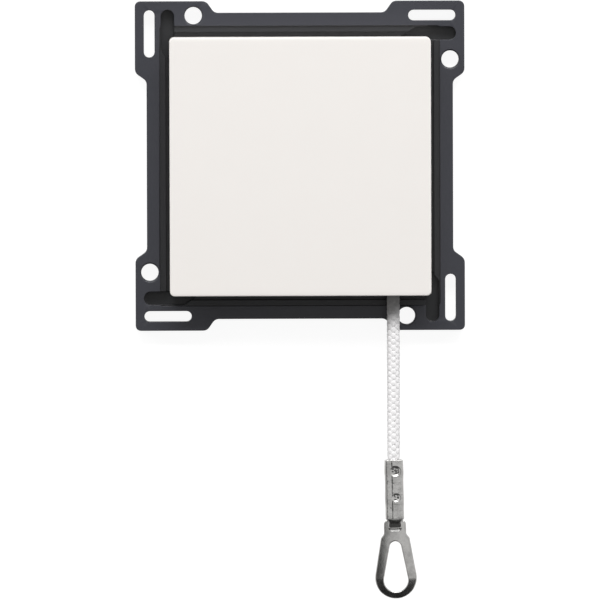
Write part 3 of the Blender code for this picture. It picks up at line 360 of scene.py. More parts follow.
def along_route(name, tree, points, sizes, squeeze=None):
    """Sweep a node tree along a route of points, and keep the result as a plain mesh."""
    mesh = bpy.data.meshes.new(name)
    mesh.from_pydata(points, [(index, index + 1) for index in range(len(points) - 1)], [])
    if squeeze:
        share = mesh.attributes.new("squeeze", "FLOAT", "POINT")
        share.data.foreach_set("value", squeeze)
    piece = placed(name, mesh)
    modifier = piece.modifiers.new(tree.name, "NODES")
    modifier.node_group = tree
    for socket in tree.interface.items_tree:
        if socket.in_out == "INPUT" and socket.name in sizes:
            modifier[socket.identifier] = sizes[socket.name]
    settle(piece)
    return piece


wire_tree = new_tree("wound_wire", {"Wire Radius": "Float", "Sides": "Int", "Finish": "Material"})
given = add_node(wire_tree, "NodeGroupInput").outputs
route = add_node(wire_tree, "GeometryNodeMeshToCurve", inputs={"Mesh": given["Geometry"]})
section = add_node(wire_tree, "GeometryNodeCurvePrimitiveCircle",
                   inputs={"Resolution": given["Sides"], "Radius": given["Wire Radius"]})
swept = add_node(wire_tree, "GeometryNodeCurveToMesh",
                 inputs={"Curve": route.outputs["Curve"], "Profile Curve": section.outputs["Curve"],
                         "Fill Caps": True})
end_tree(wire_tree, swept.outputs["Mesh"], given["Finish"])

turns = []
for step in range(CONTACT_STEPS + 1):
    share = step / CONTACT_STEPS
    angle = 2 * math.pi * CONTACT_TURNS * share
    # The end turns lie closer together, as on a ground and closed spring
    pitch = share - CONTACT_CLOSING * math.sin(2 * math.pi * share)
    x = CONTACT_SEAT + CONTACT_WIRE / 2 + (CONTACT_END - CONTACT_SEAT - CONTACT_WIRE) * pitch
    turns.append((x, CONTACT_Y + CONTACT_COIL * math.cos(angle), CONTACT_Z + CONTACT_COIL * math.sin(angle)))
contact_coil = along_route("contact_coil", wire_tree, turns,
                           {"Wire Radius": CONTACT_WIRE / 2, "Sides": WIRE_SIDES, "Finish": spring_wire})
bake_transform(contact_coil)
dress(contact_coil, spring_wire, None, "steel", "contact_spring")


# Mechanism lid and its screws
# The moulded lid that closes the housing, with the stop, the spring post and the detent block.
# Two small screws hold it, with their heads sunk flush in its face.
LID_EDGE = 0.00014

finished("mechanism_lid", "lid_moulding", LID_EDGE, grey_polyester, "base", "housing_plastic")
for node in ("lid_screw_top", "lid_screw_bottom"):
    finished(node, f"{node}_turned", SCREW_EDGE, zinc_plate, "base", "steel")


# Pivot pin and clip
# The turned steel axle of the lever, the ratchet wheel and the cam, pressed into the housing's
# post. A spring steel clip on its front end keeps them on.
PIN_EDGE = 0.00008

finished("pivot_pin", "pivot_pin_turned", PIN_EDGE, turned_steel, "base", "steel")
finished("pin_clip", "pin_clip_stamping", PIN_EDGE, spring_wire, "base", "steel")


# Ratchet wheel and cam
# The wheel and its hub are one acetal moulding. The six-lobed cam is a second one, in red,
# on the wheel's square spigot behind the lid.
ACETAL_EDGE = 0.00010

# Natural acetal: milky white, waxy and nearly smooth
white_acetal = moulded_plastic("natural_acetal_moulded", ("#e9e6dd", "#e2dfd4"),
                               roughness=0.33, grit=0.30, depth=0.004, ior=1.48)
# Acetal coloured in the mass: the same waxy surface in a brick red
red_acetal = moulded_plastic("red_acetal_moulded", ("#c4402f", "#b4382a"),
                             roughness=0.33, grit=0.30, depth=0.004, ior=1.48)
finished("ratchet_wheel", "ratchet_moulding", ACETAL_EDGE, white_acetal, "rotor", "acetal")
finished("cam", "cam_moulding", ACETAL_EDGE, red_acetal, "rotor", "red_acetal")


# Pull lever, pawl and leaf springs
# The lever is an acetal quadrant whose grooved rim takes the cord. Its pawl is sintered steel
# on a pin, pressed on the teeth by a leaf. A second leaf on the lid stops the wheel's return.
LEAF_EDGE = 0.00005
LEAF_STEPS = 2

# Sintered steel, steamed blue-black, with the pores of pressed powder
sintered_steel = worked_metal("sintered_steel_steamed", ("#6c6d72", "#55565b"),
                              roughness=0.42, spread=0.08, grain=0.09, lines=1.0)
finished("pull_lever", "lever_moulding", ACETAL_EDGE, white_acetal, "lever", "acetal")
finished("pawl", "pawl_sintered", ACETAL_EDGE, sintered_steel, "pawl", "steel")
finished("pawl_pin", "pawl_pin_turned", PIN_EDGE, turned_steel, "lever", "steel")
finished("detent_spring", "detent_leaf", LEAF_EDGE, spring_wire, "base", "steel", LEAF_STEPS)
pawl_leaf = softened("pawl_spring", "pawl_leaf", LEAF_EDGE, LEAF_STEPS)
low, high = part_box("pawl_spring")
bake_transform(pawl_leaf)
dress(pawl_leaf, spring_wire, None, "steel", "pawl_spring")


# Return spring
# An extension coil of drawn spring wire, with a hook at each end: one over the peg on the
# lever's tail, and one on the lid's post. It pulls the lever back when the cord is let go.
RETURN_WIRE = 0.00045
RETURN_COIL = 0.00105
RETURN_TURNS = 10
RETURN_STEPS = 24 * RETURN_TURNS
RETURN_HOOK = 0.001325
RETURN_Y = -0.00355
RETURN_LEAD = 0.0009
TAIL_PEG = (-0.005777, 0.000899)
LID_POST = (-0.005777, -0.016701)
HOOK_STEPS = 18
HOOK_TURN = 290
LEAD_STEPS = 8


def hook(middle, first, turn):
    """Points of a hook about a peg, from a first angle and over a turn in degrees."""
    angles = [math.radians(first + turn * step / HOOK_STEPS) for step in range(HOOK_STEPS + 1)]
    return [(middle[0] + RETURN_HOOK * math.cos(angle), RETURN_Y, middle[1] + RETURN_HOOK * math.sin(angle))
            for angle in angles]


def coil_point(reach, angle, height):
    """A point at a reach and an angle round the return spring's axis."""
    return (TAIL_PEG[0] + reach * math.cos(angle), RETURN_Y + reach * math.sin(angle), height)


coil_top = TAIL_PEG[1] - RETURN_HOOK
coil_bottom = LID_POST[1] + RETURN_HOOK
coil_length = coil_top - coil_bottom - 2 * RETURN_LEAD
wound = hook(TAIL_PEG, -20, HOOK_TURN)
# The wire swings out from each hook to the coil's radius in a quarter of a turn
lead_shares = [step / LEAD_STEPS for step in range(1, LEAD_STEPS)]
for share in lead_shares:
    wound.append(coil_point(RETURN_COIL * share, math.pi / 2 * share, coil_top - RETURN_LEAD * share))
for step in range(RETURN_STEPS + 1):
    share = step / RETURN_STEPS
    wound.append(coil_point(RETURN_COIL, math.pi / 2 + 2 * math.pi * RETURN_TURNS * share,
                            coil_top - RETURN_LEAD - coil_length * share))
for share in lead_shares[::-1]:
    wound.append(coil_point(RETURN_COIL * share, math.pi - math.pi / 2 * share,
                            coil_bottom + RETURN_LEAD * share))
wound += hook(LID_POST, 90, -HOOK_TURN)
return_coil = along_route("return_coil", wire_tree, wound,
                          {"Wire Radius": RETURN_WIRE / 2, "Sides": WIRE_SIDES, "Finish": spring_wire})
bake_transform(return_coil)
dress(return_coil, spring_wire, None, "steel", "return_spring")


# Cord
# A white braided polyester cord of eight yarns over a core, plaited one over and one under.
# It runs from a stop knot in the lever's groove down through the cover's notch to the clamp.
CORD_X = 0.0200
CORD_Y = -0.00485
CORD_TOP = 0.0029
CORD_STEPS = 22
CLAMP_TOP = -0.0634
CORD_FREE_END = CLAMP_TOP + 0.0024
FITTING_LEAN = math.radians(1.0)
LEVER_PIVOT = (0.0040, 0.0030)
GROOVE_RADIUS = 0.0160
GROOVE_STEPS = 40
GROOVE_START = 1.2
GROOVE_END = 58.6
KNOT_ANGLE = 52
KNOT_HALF_ANGLE = 6.8
KNOT_SWELL = 1.34
KNOT_TIP = 0.2
# Heights between which the cord's painted shade fades out below the cover
SHADE_PAINT_BOTTOM = -0.0365
SHADE_PAINT_TOP = -0.0290
SECTION_SIDES = 12

# Spun polyester yarn: white, soft, with fine filaments along each yarn and a faint bloom
braided_polyester, tree, place = new_material("white_braided_polyester")
shader = tree.nodes["Principled BSDF"]
across = add_node(tree, "ShaderNodeAttribute", {"attribute_name": "across"}).outputs["Fac"]
travel = add_node(tree, "ShaderNodeAttribute", {"attribute_name": "travel"}).outputs["Fac"]
# About 16 filament bundles round each yarn, twisted once in 4 mm. They are drawn coarser than
# real filaments, which are too fine to show
twist = add_node(tree, "ShaderNodeMath", {"operation": "MULTIPLY_ADD"}, {0: travel, 1: 1000 / 4, 2: across})
bundles = add_node(tree, "ShaderNodeMath", {"operation": "MULTIPLY"},
                   {0: twist.outputs[0], 1: 2 * math.pi * 16})
filaments = add_node(tree, "ShaderNodeMath", {"operation": "SINE"}, {0: bundles.outputs[0]})
# Fuzz of about 0.12 mm breaks the filaments up, and dust greys the cord in soft patches
fuzz = add_node(tree, "ShaderNodeTexNoise", inputs={"Vector": place, "Scale": 1000 / 0.12, "Detail": 2.0})
dust = add_node(tree, "ShaderNodeTexNoise", inputs={"Vector": place, "Scale": 1000 / 1.6, "Detail": 3.0})
fibre = add_node(tree, "ShaderNodeMath", {"operation": "MULTIPLY_ADD"},
                 {0: filaments.outputs[0], 1: 0.25, 2: fuzz.outputs["Fac"]})
relief = add_node(tree, "ShaderNodeBump",
                  inputs={"Height": fibre.outputs[0], "Strength": 0.3, "Distance": 0.00003})
tone = add_node(tree, "ShaderNodeMix", {"data_type": "RGBA"},
                {"Factor": dust.outputs["Fac"], 6: linear("#faf9f9"), 7: linear("#f1eff0")})
# Painted shade: the tone is grey inside the cover and fades to white below its notch, where the cover's shade
# lies on the cord
height = add_node(tree, "ShaderNodeSeparateXYZ", inputs={"Vector": place}).outputs["Z"]
painted_shade_share = add_node(tree, "ShaderNodeMapRange",
                  inputs={"Value": height, "From Min": SHADE_PAINT_BOTTOM, "From Max": SHADE_PAINT_TOP})
painted_shade_tone = add_node(tree, "ShaderNodeMix", {"data_type": "RGBA"},
                  {"Factor": painted_shade_share.outputs["Result"], 6: tone.outputs[2], 7: linear("#a9a8a8")})
tree.links.new(painted_shade_tone.outputs[2], shader.inputs["Base Color"])
tree.links.new(relief.outputs["Normal"], shader.inputs["Normal"])
for socket, value in (("Roughness", 0.85), ("IOR", 1.5), ("Sheen Weight", 0.15), ("Sheen Roughness", 0.5)):
    shader.inputs[socket].default_value = value

braid_tree = new_tree("eight_yarn_braid", {
    "Steps": "Int", "Yarns": "Int", "Lead": "Float", "Middle Radius": "Float", "Swing": "Float",
    "Yarn Thickness": "Float", "Yarn Width": "Float", "Core Radius": "Float", "Finish": "Material"})
tree = braid_tree
given = add_node(tree, "NodeGroupInput").outputs
route = add_node(tree, "GeometryNodeMeshToCurve", inputs={"Mesh": given["Geometry"]})
fine_route = add_node(tree, "GeometryNodeResampleCurve", {"mode": "COUNT"},
                      {"Curve": route.outputs["Curve"], "Count": given["Steps"]})
yarns = add_node(tree, "GeometryNodeDuplicateElements", {"domain": "SPLINE"},
                 {"Geometry": fine_route.outputs["Curve"], "Amount": given["Yarns"]})
number = yarns.outputs["Duplicate Index"]
length = add_node(tree, "GeometryNodeSplineParameter").outputs["Length"]
squeeze = add_node(tree, "GeometryNodeInputNamedAttribute", {"data_type": "FLOAT"},
                   {"Name": "squeeze"}).outputs["Attribute"]
# Even yarns wind to the right and odd ones to the left. A yarn meets one of the other hand
# twice in each pair's pitch, over it and then under it
sums = {}
for name, operation, *terms in (
        ("odd", "FLOORED_MODULO", number, 2.0),
        ("way", "MULTIPLY_ADD", "odd", -2.0, 1.0),
        ("pair", "SUBTRACT", number, "odd"),
        ("part turn", "DIVIDE", "pair", given["Yarns"]),
        ("turns down", "DIVIDE", length, given["Lead"]),
        ("way down", "MULTIPLY_ADD", "turns down", "way", "part turn"),
        ("angle", "MULTIPLY", "way down", 2 * math.pi),
        ("cosine", "COSINE", "angle"),
        ("sine", "SINE", "angle"),
        ("crossings", "MULTIPLY", "turns down", given["Yarns"]),
        ("crossing angle", "MULTIPLY", "crossings", math.pi),
        ("wave", "COSINE", "crossing angle"),
        ("over", "MULTIPLY", "wave", "way"),
        ("rise", "MULTIPLY_ADD", "over", given["Swing"], given["Middle Radius"]),
        ("reach", "MULTIPLY", "rise", squeeze)):
    values = dict(enumerate(sums[term] if isinstance(term, str) else term for term in terms))
    sums[name] = add_node(tree, "ShaderNodeMath", {"operation": operation}, values).outputs[0]
side = add_node(tree, "GeometryNodeInputNormal").outputs["Normal"]
tangent = add_node(tree, "GeometryNodeInputTangent").outputs["Tangent"]
front = add_node(tree, "ShaderNodeVectorMath", {"operation": "CROSS_PRODUCT"}, {0: tangent, 1: side})
sideways = add_node(tree, "ShaderNodeVectorMath", {"operation": "SCALE"}, {0: side, "Scale": sums["cosine"]})
forwards = add_node(tree, "ShaderNodeVectorMath", {"operation": "SCALE"},
                    {0: front.outputs["Vector"], "Scale": sums["sine"]})
outward = add_node(tree, "ShaderNodeVectorMath", {"operation": "ADD"},
                   {0: sideways.outputs["Vector"], 1: forwards.outputs["Vector"]})
# These are kept before the yarns leave the middle line, which changes what the nodes above read
kept = yarns.outputs["Geometry"]
for name, kind, value in (("outward", "FLOAT_VECTOR", outward.outputs["Vector"]),
                          ("reach", "FLOAT", sums["reach"]), ("travel", "FLOAT", length)):
    kept = add_node(tree, "GeometryNodeStoreNamedAttribute", {"data_type": kind, "domain": "POINT"},
                    {"Geometry": kept, "Name": name, "Value": value}).outputs["Geometry"]
read_outward = add_node(tree, "GeometryNodeInputNamedAttribute", {"data_type": "FLOAT_VECTOR"},
                        {"Name": "outward"}).outputs["Attribute"]
read_reach = add_node(tree, "GeometryNodeInputNamedAttribute", {"data_type": "FLOAT"},
                      {"Name": "reach"}).outputs["Attribute"]
shift = add_node(tree, "ShaderNodeVectorMath", {"operation": "SCALE"}, {0: read_outward, "Scale": read_reach})
plaited = add_node(tree, "GeometryNodeSetPosition",
                   inputs={"Geometry": kept, "Offset": shift.outputs["Vector"]})
faced = add_node(tree, "GeometryNodeSetCurveNormal", {"mode": "FREE"},
                 {"Curve": plaited.outputs["Geometry"], "Normal": read_outward})
circle = add_node(tree, "GeometryNodeCurvePrimitiveCircle",
                  inputs={"Resolution": SECTION_SIDES, "Radius": 1.0})
round_factor = add_node(tree, "GeometryNodeSplineParameter").outputs["Factor"]
marked = add_node(tree, "GeometryNodeStoreNamedAttribute", {"data_type": "FLOAT", "domain": "POINT"},
                  {"Geometry": circle.outputs["Curve"], "Name": "across", "Value": round_factor})
flat_section = add_node(tree, "ShaderNodeCombineXYZ",
                        inputs={"X": given["Yarn Thickness"], "Y": given["Yarn Width"], "Z": 1.0})
yarn_section = add_node(tree, "GeometryNodeTransform",
                        inputs={"Geometry": marked.outputs["Geometry"],
                                "Scale": flat_section.outputs["Vector"]})
yarn_skin = add_node(tree, "GeometryNodeCurveToMesh",
                     inputs={"Curve": faced.outputs["Curve"], "Scale": squeeze,
                             "Profile Curve": yarn_section.outputs["Geometry"], "Fill Caps": True})
core_section = add_node(tree, "GeometryNodeCurvePrimitiveCircle",
                        inputs={"Resolution": SECTION_SIDES, "Radius": given["Core Radius"]})
core_skin = add_node(tree, "GeometryNodeCurveToMesh",
                     inputs={"Curve": fine_route.outputs["Curve"], "Scale": squeeze,
                             "Profile Curve": core_section.outputs["Curve"], "Fill Caps": True})
whole = add_node(tree, "GeometryNodeJoinGeometry", inputs={"Geometry": core_skin.outputs["Mesh"]})
tree.links.new(yarn_skin.outputs["Mesh"], whole.inputs["Geometry"])
end_tree(tree, whole.outputs["Geometry"], given["Finish"])

braid_sizes = {"Yarns": 8, "Lead": 0.0051, "Middle Radius": 0.00114, "Swing": 0.00007,
               "Yarn Thickness": 0.00019, "Yarn Width": 0.00066, "Core Radius": 0.00124,
               "Finish": braided_polyester}
hanging = [(CORD_X, CORD_Y, CORD_TOP + (CORD_FREE_END - CORD_TOP) * step / CORD_STEPS)
           for step in range(CORD_STEPS + 1)]
squeezes = [1.0] * len(hanging)
# The clamp's mouth squeezes the cord, which then follows the clamp's lean
for drop, share in ((-0.0017, 1.0), (-0.0010, 0.98), (-0.0004, 0.95), (0.0003, 0.91), (0.0010, 0.80),
                    (0.0030, 0.70), (0.0050, 0.70), (0.0070, 0.70), (0.0100, 0.70)):
    hanging.append((CORD_X + max(drop, 0) * math.tan(FITTING_LEAN), CORD_Y, CLAMP_TOP - drop))
    squeezes.append(share)
cord_braid = along_route("cord_braid", braid_tree, hanging, {"Steps": 560, **braid_sizes}, squeezes)
dress(cord_braid, braided_polyester, "cord", "cord_braid", "cord")

# The lead lies in the lever's groove and swells into the stop knot at its end
lead = []
squeezes = []
for step in range(GROOVE_STEPS + 1):
    angle = GROOVE_START + (GROOVE_END - GROOVE_START) * step / GROOVE_STEPS
    lead.append((LEVER_PIVOT[0] + GROOVE_RADIUS * math.cos(math.radians(angle)), CORD_Y,
                 LEVER_PIVOT[1] + GROOVE_RADIUS * math.sin(math.radians(angle))))
    bulb = 1 - ((angle - KNOT_ANGLE) / KNOT_HALF_ANGLE) ** 2
    swell = KNOT_SWELL * math.sqrt(max(bulb, 0.0))
    squeezes.append(max(swell, KNOT_TIP if angle > KNOT_ANGLE else 1.0))
lead_braid = along_route("cord_lead_braid", braid_tree, lead, {"Steps": 110, **braid_sizes}, squeezes)
dress(lead_braid, braided_polyester, "lever", "cord_braid", "cord_lead", "cord_knot")


# Cord clamp
# A nickel plated steel strap, folded round the end of the cord so that its edges meet in a seam
# on the front, and crimped by two punch marks. Its tongue is bent through the pull ring's eye.
CLAMP_BOTTOM = -0.0762
CLAMP_HALF_WIDTH = 0.0020
CLAMP_HALF_DEPTH = 0.0018
CLAMP_CORNER = 0.00045
CLAMP_WALL = 0.00042
CLAMP_LIP = 0.00010
ROUND_STEPS = 112
LONG_STEPS = 150
INNER_STEPS = 6
# Each punch mark has its place across and along the strap, its radius and its depth
CLAMP_DENTS = ((0.00028, -0.06584, 0.00115, 0.00022), (0.00036, -0.07153, 0.00090, 0.00022))
DENT_WALL = 0.32
DENT_GRAIN = 0.00008
SIDE_SWELL = 0.00007
SWELL_REACH = 0.0012
SEAM_X = -0.00055
SEAM_DEPTH = 0.00003
SEAM_WIDTH = 0.000075
SEAM_STEP = 0.00002
TONGUE_HALF_WIDTH = 0.00142
TONGUE_THICKNESS = 0.0005
TONGUE_INSET = 0.0002
TONGUE_ENDS = (CLAMP_BOTTOM + 0.0016, CLAMP_BOTTOM + 0.0008)
TONGUE_STEPS = 24
TONGUE_SIDES = 16
ROOT_LENGTH = 0.0006
ROOT_WIDENING = 0.00042
FOLD_REACH = 0.0021

# Nickel plate on steel, barrel plated: a warm grey mirror, clouded by tumbling and handling
nickel_plate = worked_metal("barrel_plated_nickel", ("#c4c3c1", "#a3a2a0"),
                            roughness=0.17, spread=0.06, grain=0.10, lines=2.0)


def lean(point):
    """Turn a point of the fitting a little out of line with the cord, about the clamp's mouth."""
    across = point[0] - CORD_X
    down = point[2] - CLAMP_TOP
    return (CORD_X + across * math.cos(FITTING_LEAN) - down * math.sin(FITTING_LEAN), point[1],
            CLAMP_TOP + across * math.sin(FITTING_LEAN) + down * math.cos(FITTING_LEAN))


def clamp_outline():
    """Points and outward directions round the clamp's section, starting in the middle of its back."""
    flat_x = CLAMP_HALF_WIDTH - CLAMP_CORNER
    flat_y = CLAMP_HALF_DEPTH - CLAMP_CORNER
    quarter = math.pi / 2 * CLAMP_CORNER
    # Each run has its length, its start or its corner's middle, its direction and where it faces
    runs = ((flat_x, (0, CLAMP_HALF_DEPTH), (1, 0), 90),
            (quarter, (flat_x, flat_y), None, 90),
            (2 * flat_y, (CLAMP_HALF_WIDTH, flat_y), (0, -1), 0),
            (quarter, (flat_x, -flat_y), None, 0),
            (2 * flat_x, (flat_x, -CLAMP_HALF_DEPTH), (-1, 0), -90),
            (quarter, (-flat_x, -flat_y), None, -90),
            (2 * flat_y, (-CLAMP_HALF_WIDTH, -flat_y), (0, 1), -180),
            (quarter, (-flat_x, flat_y), None, -180),
            (flat_x, (-flat_x, CLAMP_HALF_DEPTH), (1, 0), -270))
    whole = 4 * (flat_x + flat_y + quarter)
    found = []
    for step in range(ROUND_STEPS):
        way = whole * step / ROUND_STEPS
        for run, start, direction, heading in runs:
            if way <= run:
                break
            way -= run
        if direction:
            turn = math.radians(heading)
            point = (start[0] + direction[0] * way, start[1] + direction[1] * way)
        else:
            turn = math.radians(heading - 90 * way / run)
            point = (start[0] + CLAMP_CORNER * math.cos(turn), start[1] + CLAMP_CORNER * math.sin(turn))
        found.append((point, (math.cos(turn), math.sin(turn))))
    return found


def pressed_in(x, facing, z):
    """How far the clamp's skin lies under its plain section, from the punch marks, seam and handling."""
    depth = 0.0
    for dent_x, dent_z, radius, dent_depth in CLAMP_DENTS:
        far = math.hypot(x - dent_x, z - dent_z) / radius
        if abs(facing) > 0.5 and far < 1:
            # The punch has a flat, worn face, so a mark has a steep wall and an uneven floor
            wall = min(1.0, (1 - far) / DENT_WALL)
            depth += wall * wall * (3 - 2 * wall) * dent_depth
            depth += DENT_GRAIN * wall * noise.noise(Vector((x, 0.0, z)) * 2600)
        # The metal that a punch displaces swells the sides beside it
        depth -= SIDE_SWELL * (1 - abs(facing)) * math.exp(-((z - dent_z) / SWELL_REACH) ** 2)
    if facing < -0.5:
        depth += SEAM_DEPTH * math.exp(-((x - SEAM_X) / SEAM_WIDTH) ** 2)
        # The two edges of the strap don't lie quite level beside the seam
        depth += SEAM_STEP if x < SEAM_X else 0.0
    for height, rate in ((0.000014, 900), (0.000011, 2400)):
        depth += height * noise.noise(Vector((x, 2 * facing / 1000, z)) * rate)
    return depth


def skin_depths(level):
    """How far the clamp's skin is pressed in at each point of its outline, at one level."""
    return [pressed_in(x, way_y, level) for (x, y), (way_x, way_y) in outline]


def clamp_row(level, depths):
    """A row of points round the clamp, set in from its outline by a depth at each point."""
    return [(x - way_x * depth, y - way_y * depth, level)
            for ((x, y), (way_x, way_y)), depth in zip(outline, depths)]


def join_rows(work, rows):
    """Join each closed row of vertices to the next one with faces."""
    for row, following in zip(rows, rows[1:]):
        for step in range(len(row)):
            beside = (step + 1) % len(row)
            work.faces.new((row[step], row[beside], following[beside], following[step]))


def from_work(name, work):
    """Turn finished mesh work into an object in the scene."""
    mesh = bpy.data.meshes.new(name)
    work.to_mesh(mesh)
    work.free()
    return placed(name, mesh)


def closed_form(name, work, rows):
    """Join rows of vertices, close both ends, and turn the mesh work into an object."""
    join_rows(work, rows)
    work.faces.new(rows[0])
    work.faces.new(rows[-1])
    bmesh.ops.recalc_face_normals(work, faces=work.faces)
    return from_work(name, work)


outline = clamp_outline()
levels = [CLAMP_TOP - CLAMP_LIP + (CLAMP_BOTTOM + 2 * CLAMP_LIP - CLAMP_TOP) * step / LONG_STEPS
          for step in range(LONG_STEPS + 1)]
rows = [clamp_row(level, skin_depths(level)) for level in levels]
# The strap's edges at the foot and the mouth are rounded over to the inside
rims = []
for end, lip in ((levels[-1], -CLAMP_LIP), (levels[0], CLAMP_LIP)):
    depths = skin_depths(end)
    rim = []
    for share in (0.25, 0.5, 0.75):
        inset = CLAMP_WALL / 2 * (1 - math.cos(math.pi * share))
        rim.append(clamp_row(end + lip * math.sin(math.pi * share),
                             [depth * (1 - share) + inset for depth in depths]))
    rims.append(rim)
foot_rim, mouth_rim = rims
rows += foot_rim
for step in range(INNER_STEPS + 1):
    inner_level = levels[-1] + (levels[0] - levels[-1]) * step / INNER_STEPS
    rows.append(clamp_row(inner_level, [CLAMP_WALL] * ROUND_STEPS))
rows += mouth_rim[::-1]
skin = bmesh.new()
made_rows = [[skin.verts.new(lean((CORD_X + x, CORD_Y + y, z))) for x, y, z in row] for row in rows]
join_rows(skin, made_rows + made_rows[:1])
# The tongue leaves the clamp's foot in front, turns under the ring's bar and goes back up behind
leg = CLAMP_HALF_DEPTH - CLAMP_WALL / 2 - TONGUE_INSET
tongue = [(-leg, end) for end in TONGUE_ENDS]
for step in range(TONGUE_STEPS + 1):
    turn = math.pi + math.pi * step / TONGUE_STEPS
    tongue.append((leg * math.cos(turn), CLAMP_BOTTOM + FOLD_REACH * math.sin(turn)))
tongue += [(leg, end) for end in TONGUE_ENDS[::-1]]
strip_rows = []
for index, (y, z) in enumerate(tongue):
    before = tongue[max(index - 1, 0)]
    after = tongue[min(index + 1, len(tongue) - 1)]
    along = Vector((after[0] - before[0], after[1] - before[1])).normalized()
    out = Vector((along.y, -along.x))
    # The tongue is sheared narrower than the clamp, with a soft shoulder at its root
    root = min(1.0, max(0.0, (z - CLAMP_BOTTOM + ROOT_LENGTH) / ROOT_LENGTH))
    half_width = TONGUE_HALF_WIDTH + ROOT_WIDENING * root * root * (3 - 2 * root)
    row = []
    for step in range(TONGUE_SIDES):
        turn = 2 * math.pi * step / TONGUE_SIDES
        # A section with round edges: flat in the middle, nearly square at the sides
        wide = math.copysign(abs(math.cos(turn)) ** 0.35, math.cos(turn)) * half_width
        thick = math.copysign(abs(math.sin(turn)) ** 0.6, math.sin(turn)) * TONGUE_THICKNESS / 2
        row.append(skin.verts.new(lean((CORD_X + wide, CORD_Y + y + out.x * thick, z + out.y * thick))))
    strip_rows.append(row)
clamp_strap = closed_form("clamp_strap", skin, strip_rows)
clamp_strap.data.shade_smooth()
dress(clamp_strap, nickel_plate, "cord", "nickel_plate", "cord_clamp")


# Pull ring
# A teardrop stamped from steel sheet, tumbled until its edges are round, then nickel plated.
# Its bar hangs in the fold of the clamp's tongue, so the ring swings freely.
RING_EDGE = 0.00022
RING_EDGE_STEPS = 4
RING_LEVELS = 32
RING_FLAT_COSINE = 0.999
RING_BOW = 0.00027
RING_BOW_REST = 0.3
RING_FOOT_BEND = 0.00055
RING_FOOT_START = 0.735
RING_FOOT_POWER = 1.5

pull_teardrop = softened("pull_ring", "pull_teardrop", RING_EDGE, RING_EDGE_STEPS)
low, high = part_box("pull_ring")
ring_half = (high.x - low.x) / 2
ring_tall = high.z - low.z
work = bmesh.new()
work.from_mesh(pull_teardrop.data)
for step in range(1, RING_LEVELS):
    level = low.z + ring_tall * step / RING_LEVELS
    bmesh.ops.bisect_plane(work, geom=work.verts[:] + work.edges[:] + work.faces[:], dist=1e-7,
                           plane_co=(0, 0, level), plane_no=(0, 0, 1))
# Stamping leaves the sheet a little bowed, with its sides and its foot back from the middle.
# The flat of the sheet and its round edges turn with the bow, so their normals are bent with it
work.normal_update()
ring_normals = []
for vertex in work.verts:
    flat = Vector()
    for face in vertex.link_faces:
        if abs(face.normal.y) > RING_FLAT_COSINE:
            flat += face.normal * face.calc_area()
    ring_normals.append(flat.normalized() if flat.length else vertex.normal.copy())
for vertex, normal in zip(work.verts, ring_normals):
    sideways = (vertex.co.x - (low.x + high.x) / 2) / ring_half
    foot = max(0.0, (high.z - vertex.co.z) / ring_tall - RING_FOOT_START) / (1 - RING_FOOT_START)
    vertex.co.y += RING_BOW * (sideways ** 2 - RING_BOW_REST) + RING_FOOT_BEND * foot ** RING_FOOT_POWER
    foot_slope = RING_FOOT_POWER * RING_FOOT_BEND * foot ** (RING_FOOT_POWER - 1)
    normal.x -= normal.y * 2 * RING_BOW * sideways / ring_half
    normal.z += normal.y * foot_slope / (ring_tall * (1 - RING_FOOT_START))
    normal.normalize()
work.to_mesh(pull_teardrop.data)
work.free()
pull_teardrop.data.normals_split_custom_set_from_vertices(ring_normals)
dress(pull_teardrop, nickel_plate, "ring", "nickel_plate", "pull_ring")


# Cover
# The plain cream cap over the mechanism, moulded with a soft front edge and snapped on the
# plate's collar. A round notch in its lower skirt lets the cord out.
COVER_HALF = 0.0281
COVER_TALL = 0.0278
COVER_HOLLOW = 0.0266
COVER_CORNER = 0.0010
COVER_CORNER_STEPS = 10
HOLLOW_CORNER = 0.0006
SKIRT_EDGE = 0.0001
COVER_EDGE = 0.00018
COVER_EDGE_STEPS = 8
COVER_EDGE_TURN = 84
COVER_RIM = 0.0008
COVER_RIM_STEPS = 6
COVER_FALL = 0.00003
COVER_SKIRT = -0.0019
COVER_FRONT = -0.0105
COVER_INSIDE = -0.0089
NOTCH_RADIUS = 0.0021
NOTCH_STEPS = 24
NOTCH_PAST = 0.001


def cover_ring(work, half, tall, corner, level):
    """A row of vertices round a rectangle with round corners, at one level of the cover."""
    row = []
    for quarter, (side, top) in enumerate(((1, 1), (-1, 1), (-1, -1), (1, -1))):
        for step in range(COVER_CORNER_STEPS + 1):
            turn = math.radians(90 * quarter + 90 * step / COVER_CORNER_STEPS)
            row.append(work.verts.new((side * (half - corner) + corner * math.cos(turn), level,
                                       top * (tall - corner) + corner * math.sin(turn))))
    return row


work = bmesh.new()
skirt_inside = COVER_HOLLOW + SKIRT_EDGE
cover_rows = [cover_ring(work, COVER_HOLLOW, COVER_HOLLOW, HOLLOW_CORNER, COVER_INSIDE),
              cover_ring(work, COVER_HOLLOW, COVER_HOLLOW, HOLLOW_CORNER, COVER_SKIRT - SKIRT_EDGE),
              cover_ring(work, skirt_inside, skirt_inside, HOLLOW_CORNER, COVER_SKIRT),
              cover_ring(work, COVER_HALF - SKIRT_EDGE, COVER_TALL - SKIRT_EDGE, COVER_CORNER, COVER_SKIRT),
              cover_ring(work, COVER_HALF, COVER_TALL, COVER_CORNER, COVER_SKIRT - SKIRT_EDGE)]
for step in range(COVER_EDGE_STEPS + 1):
    turn = math.radians(COVER_EDGE_TURN * step / COVER_EDGE_STEPS)
    inset = COVER_EDGE * (1 - math.cos(turn))
    cover_rows.append(cover_ring(work, COVER_HALF - inset, COVER_TALL - inset, COVER_CORNER - inset,
                                 COVER_FRONT + COVER_FALL + COVER_EDGE * (1 - math.sin(turn))))
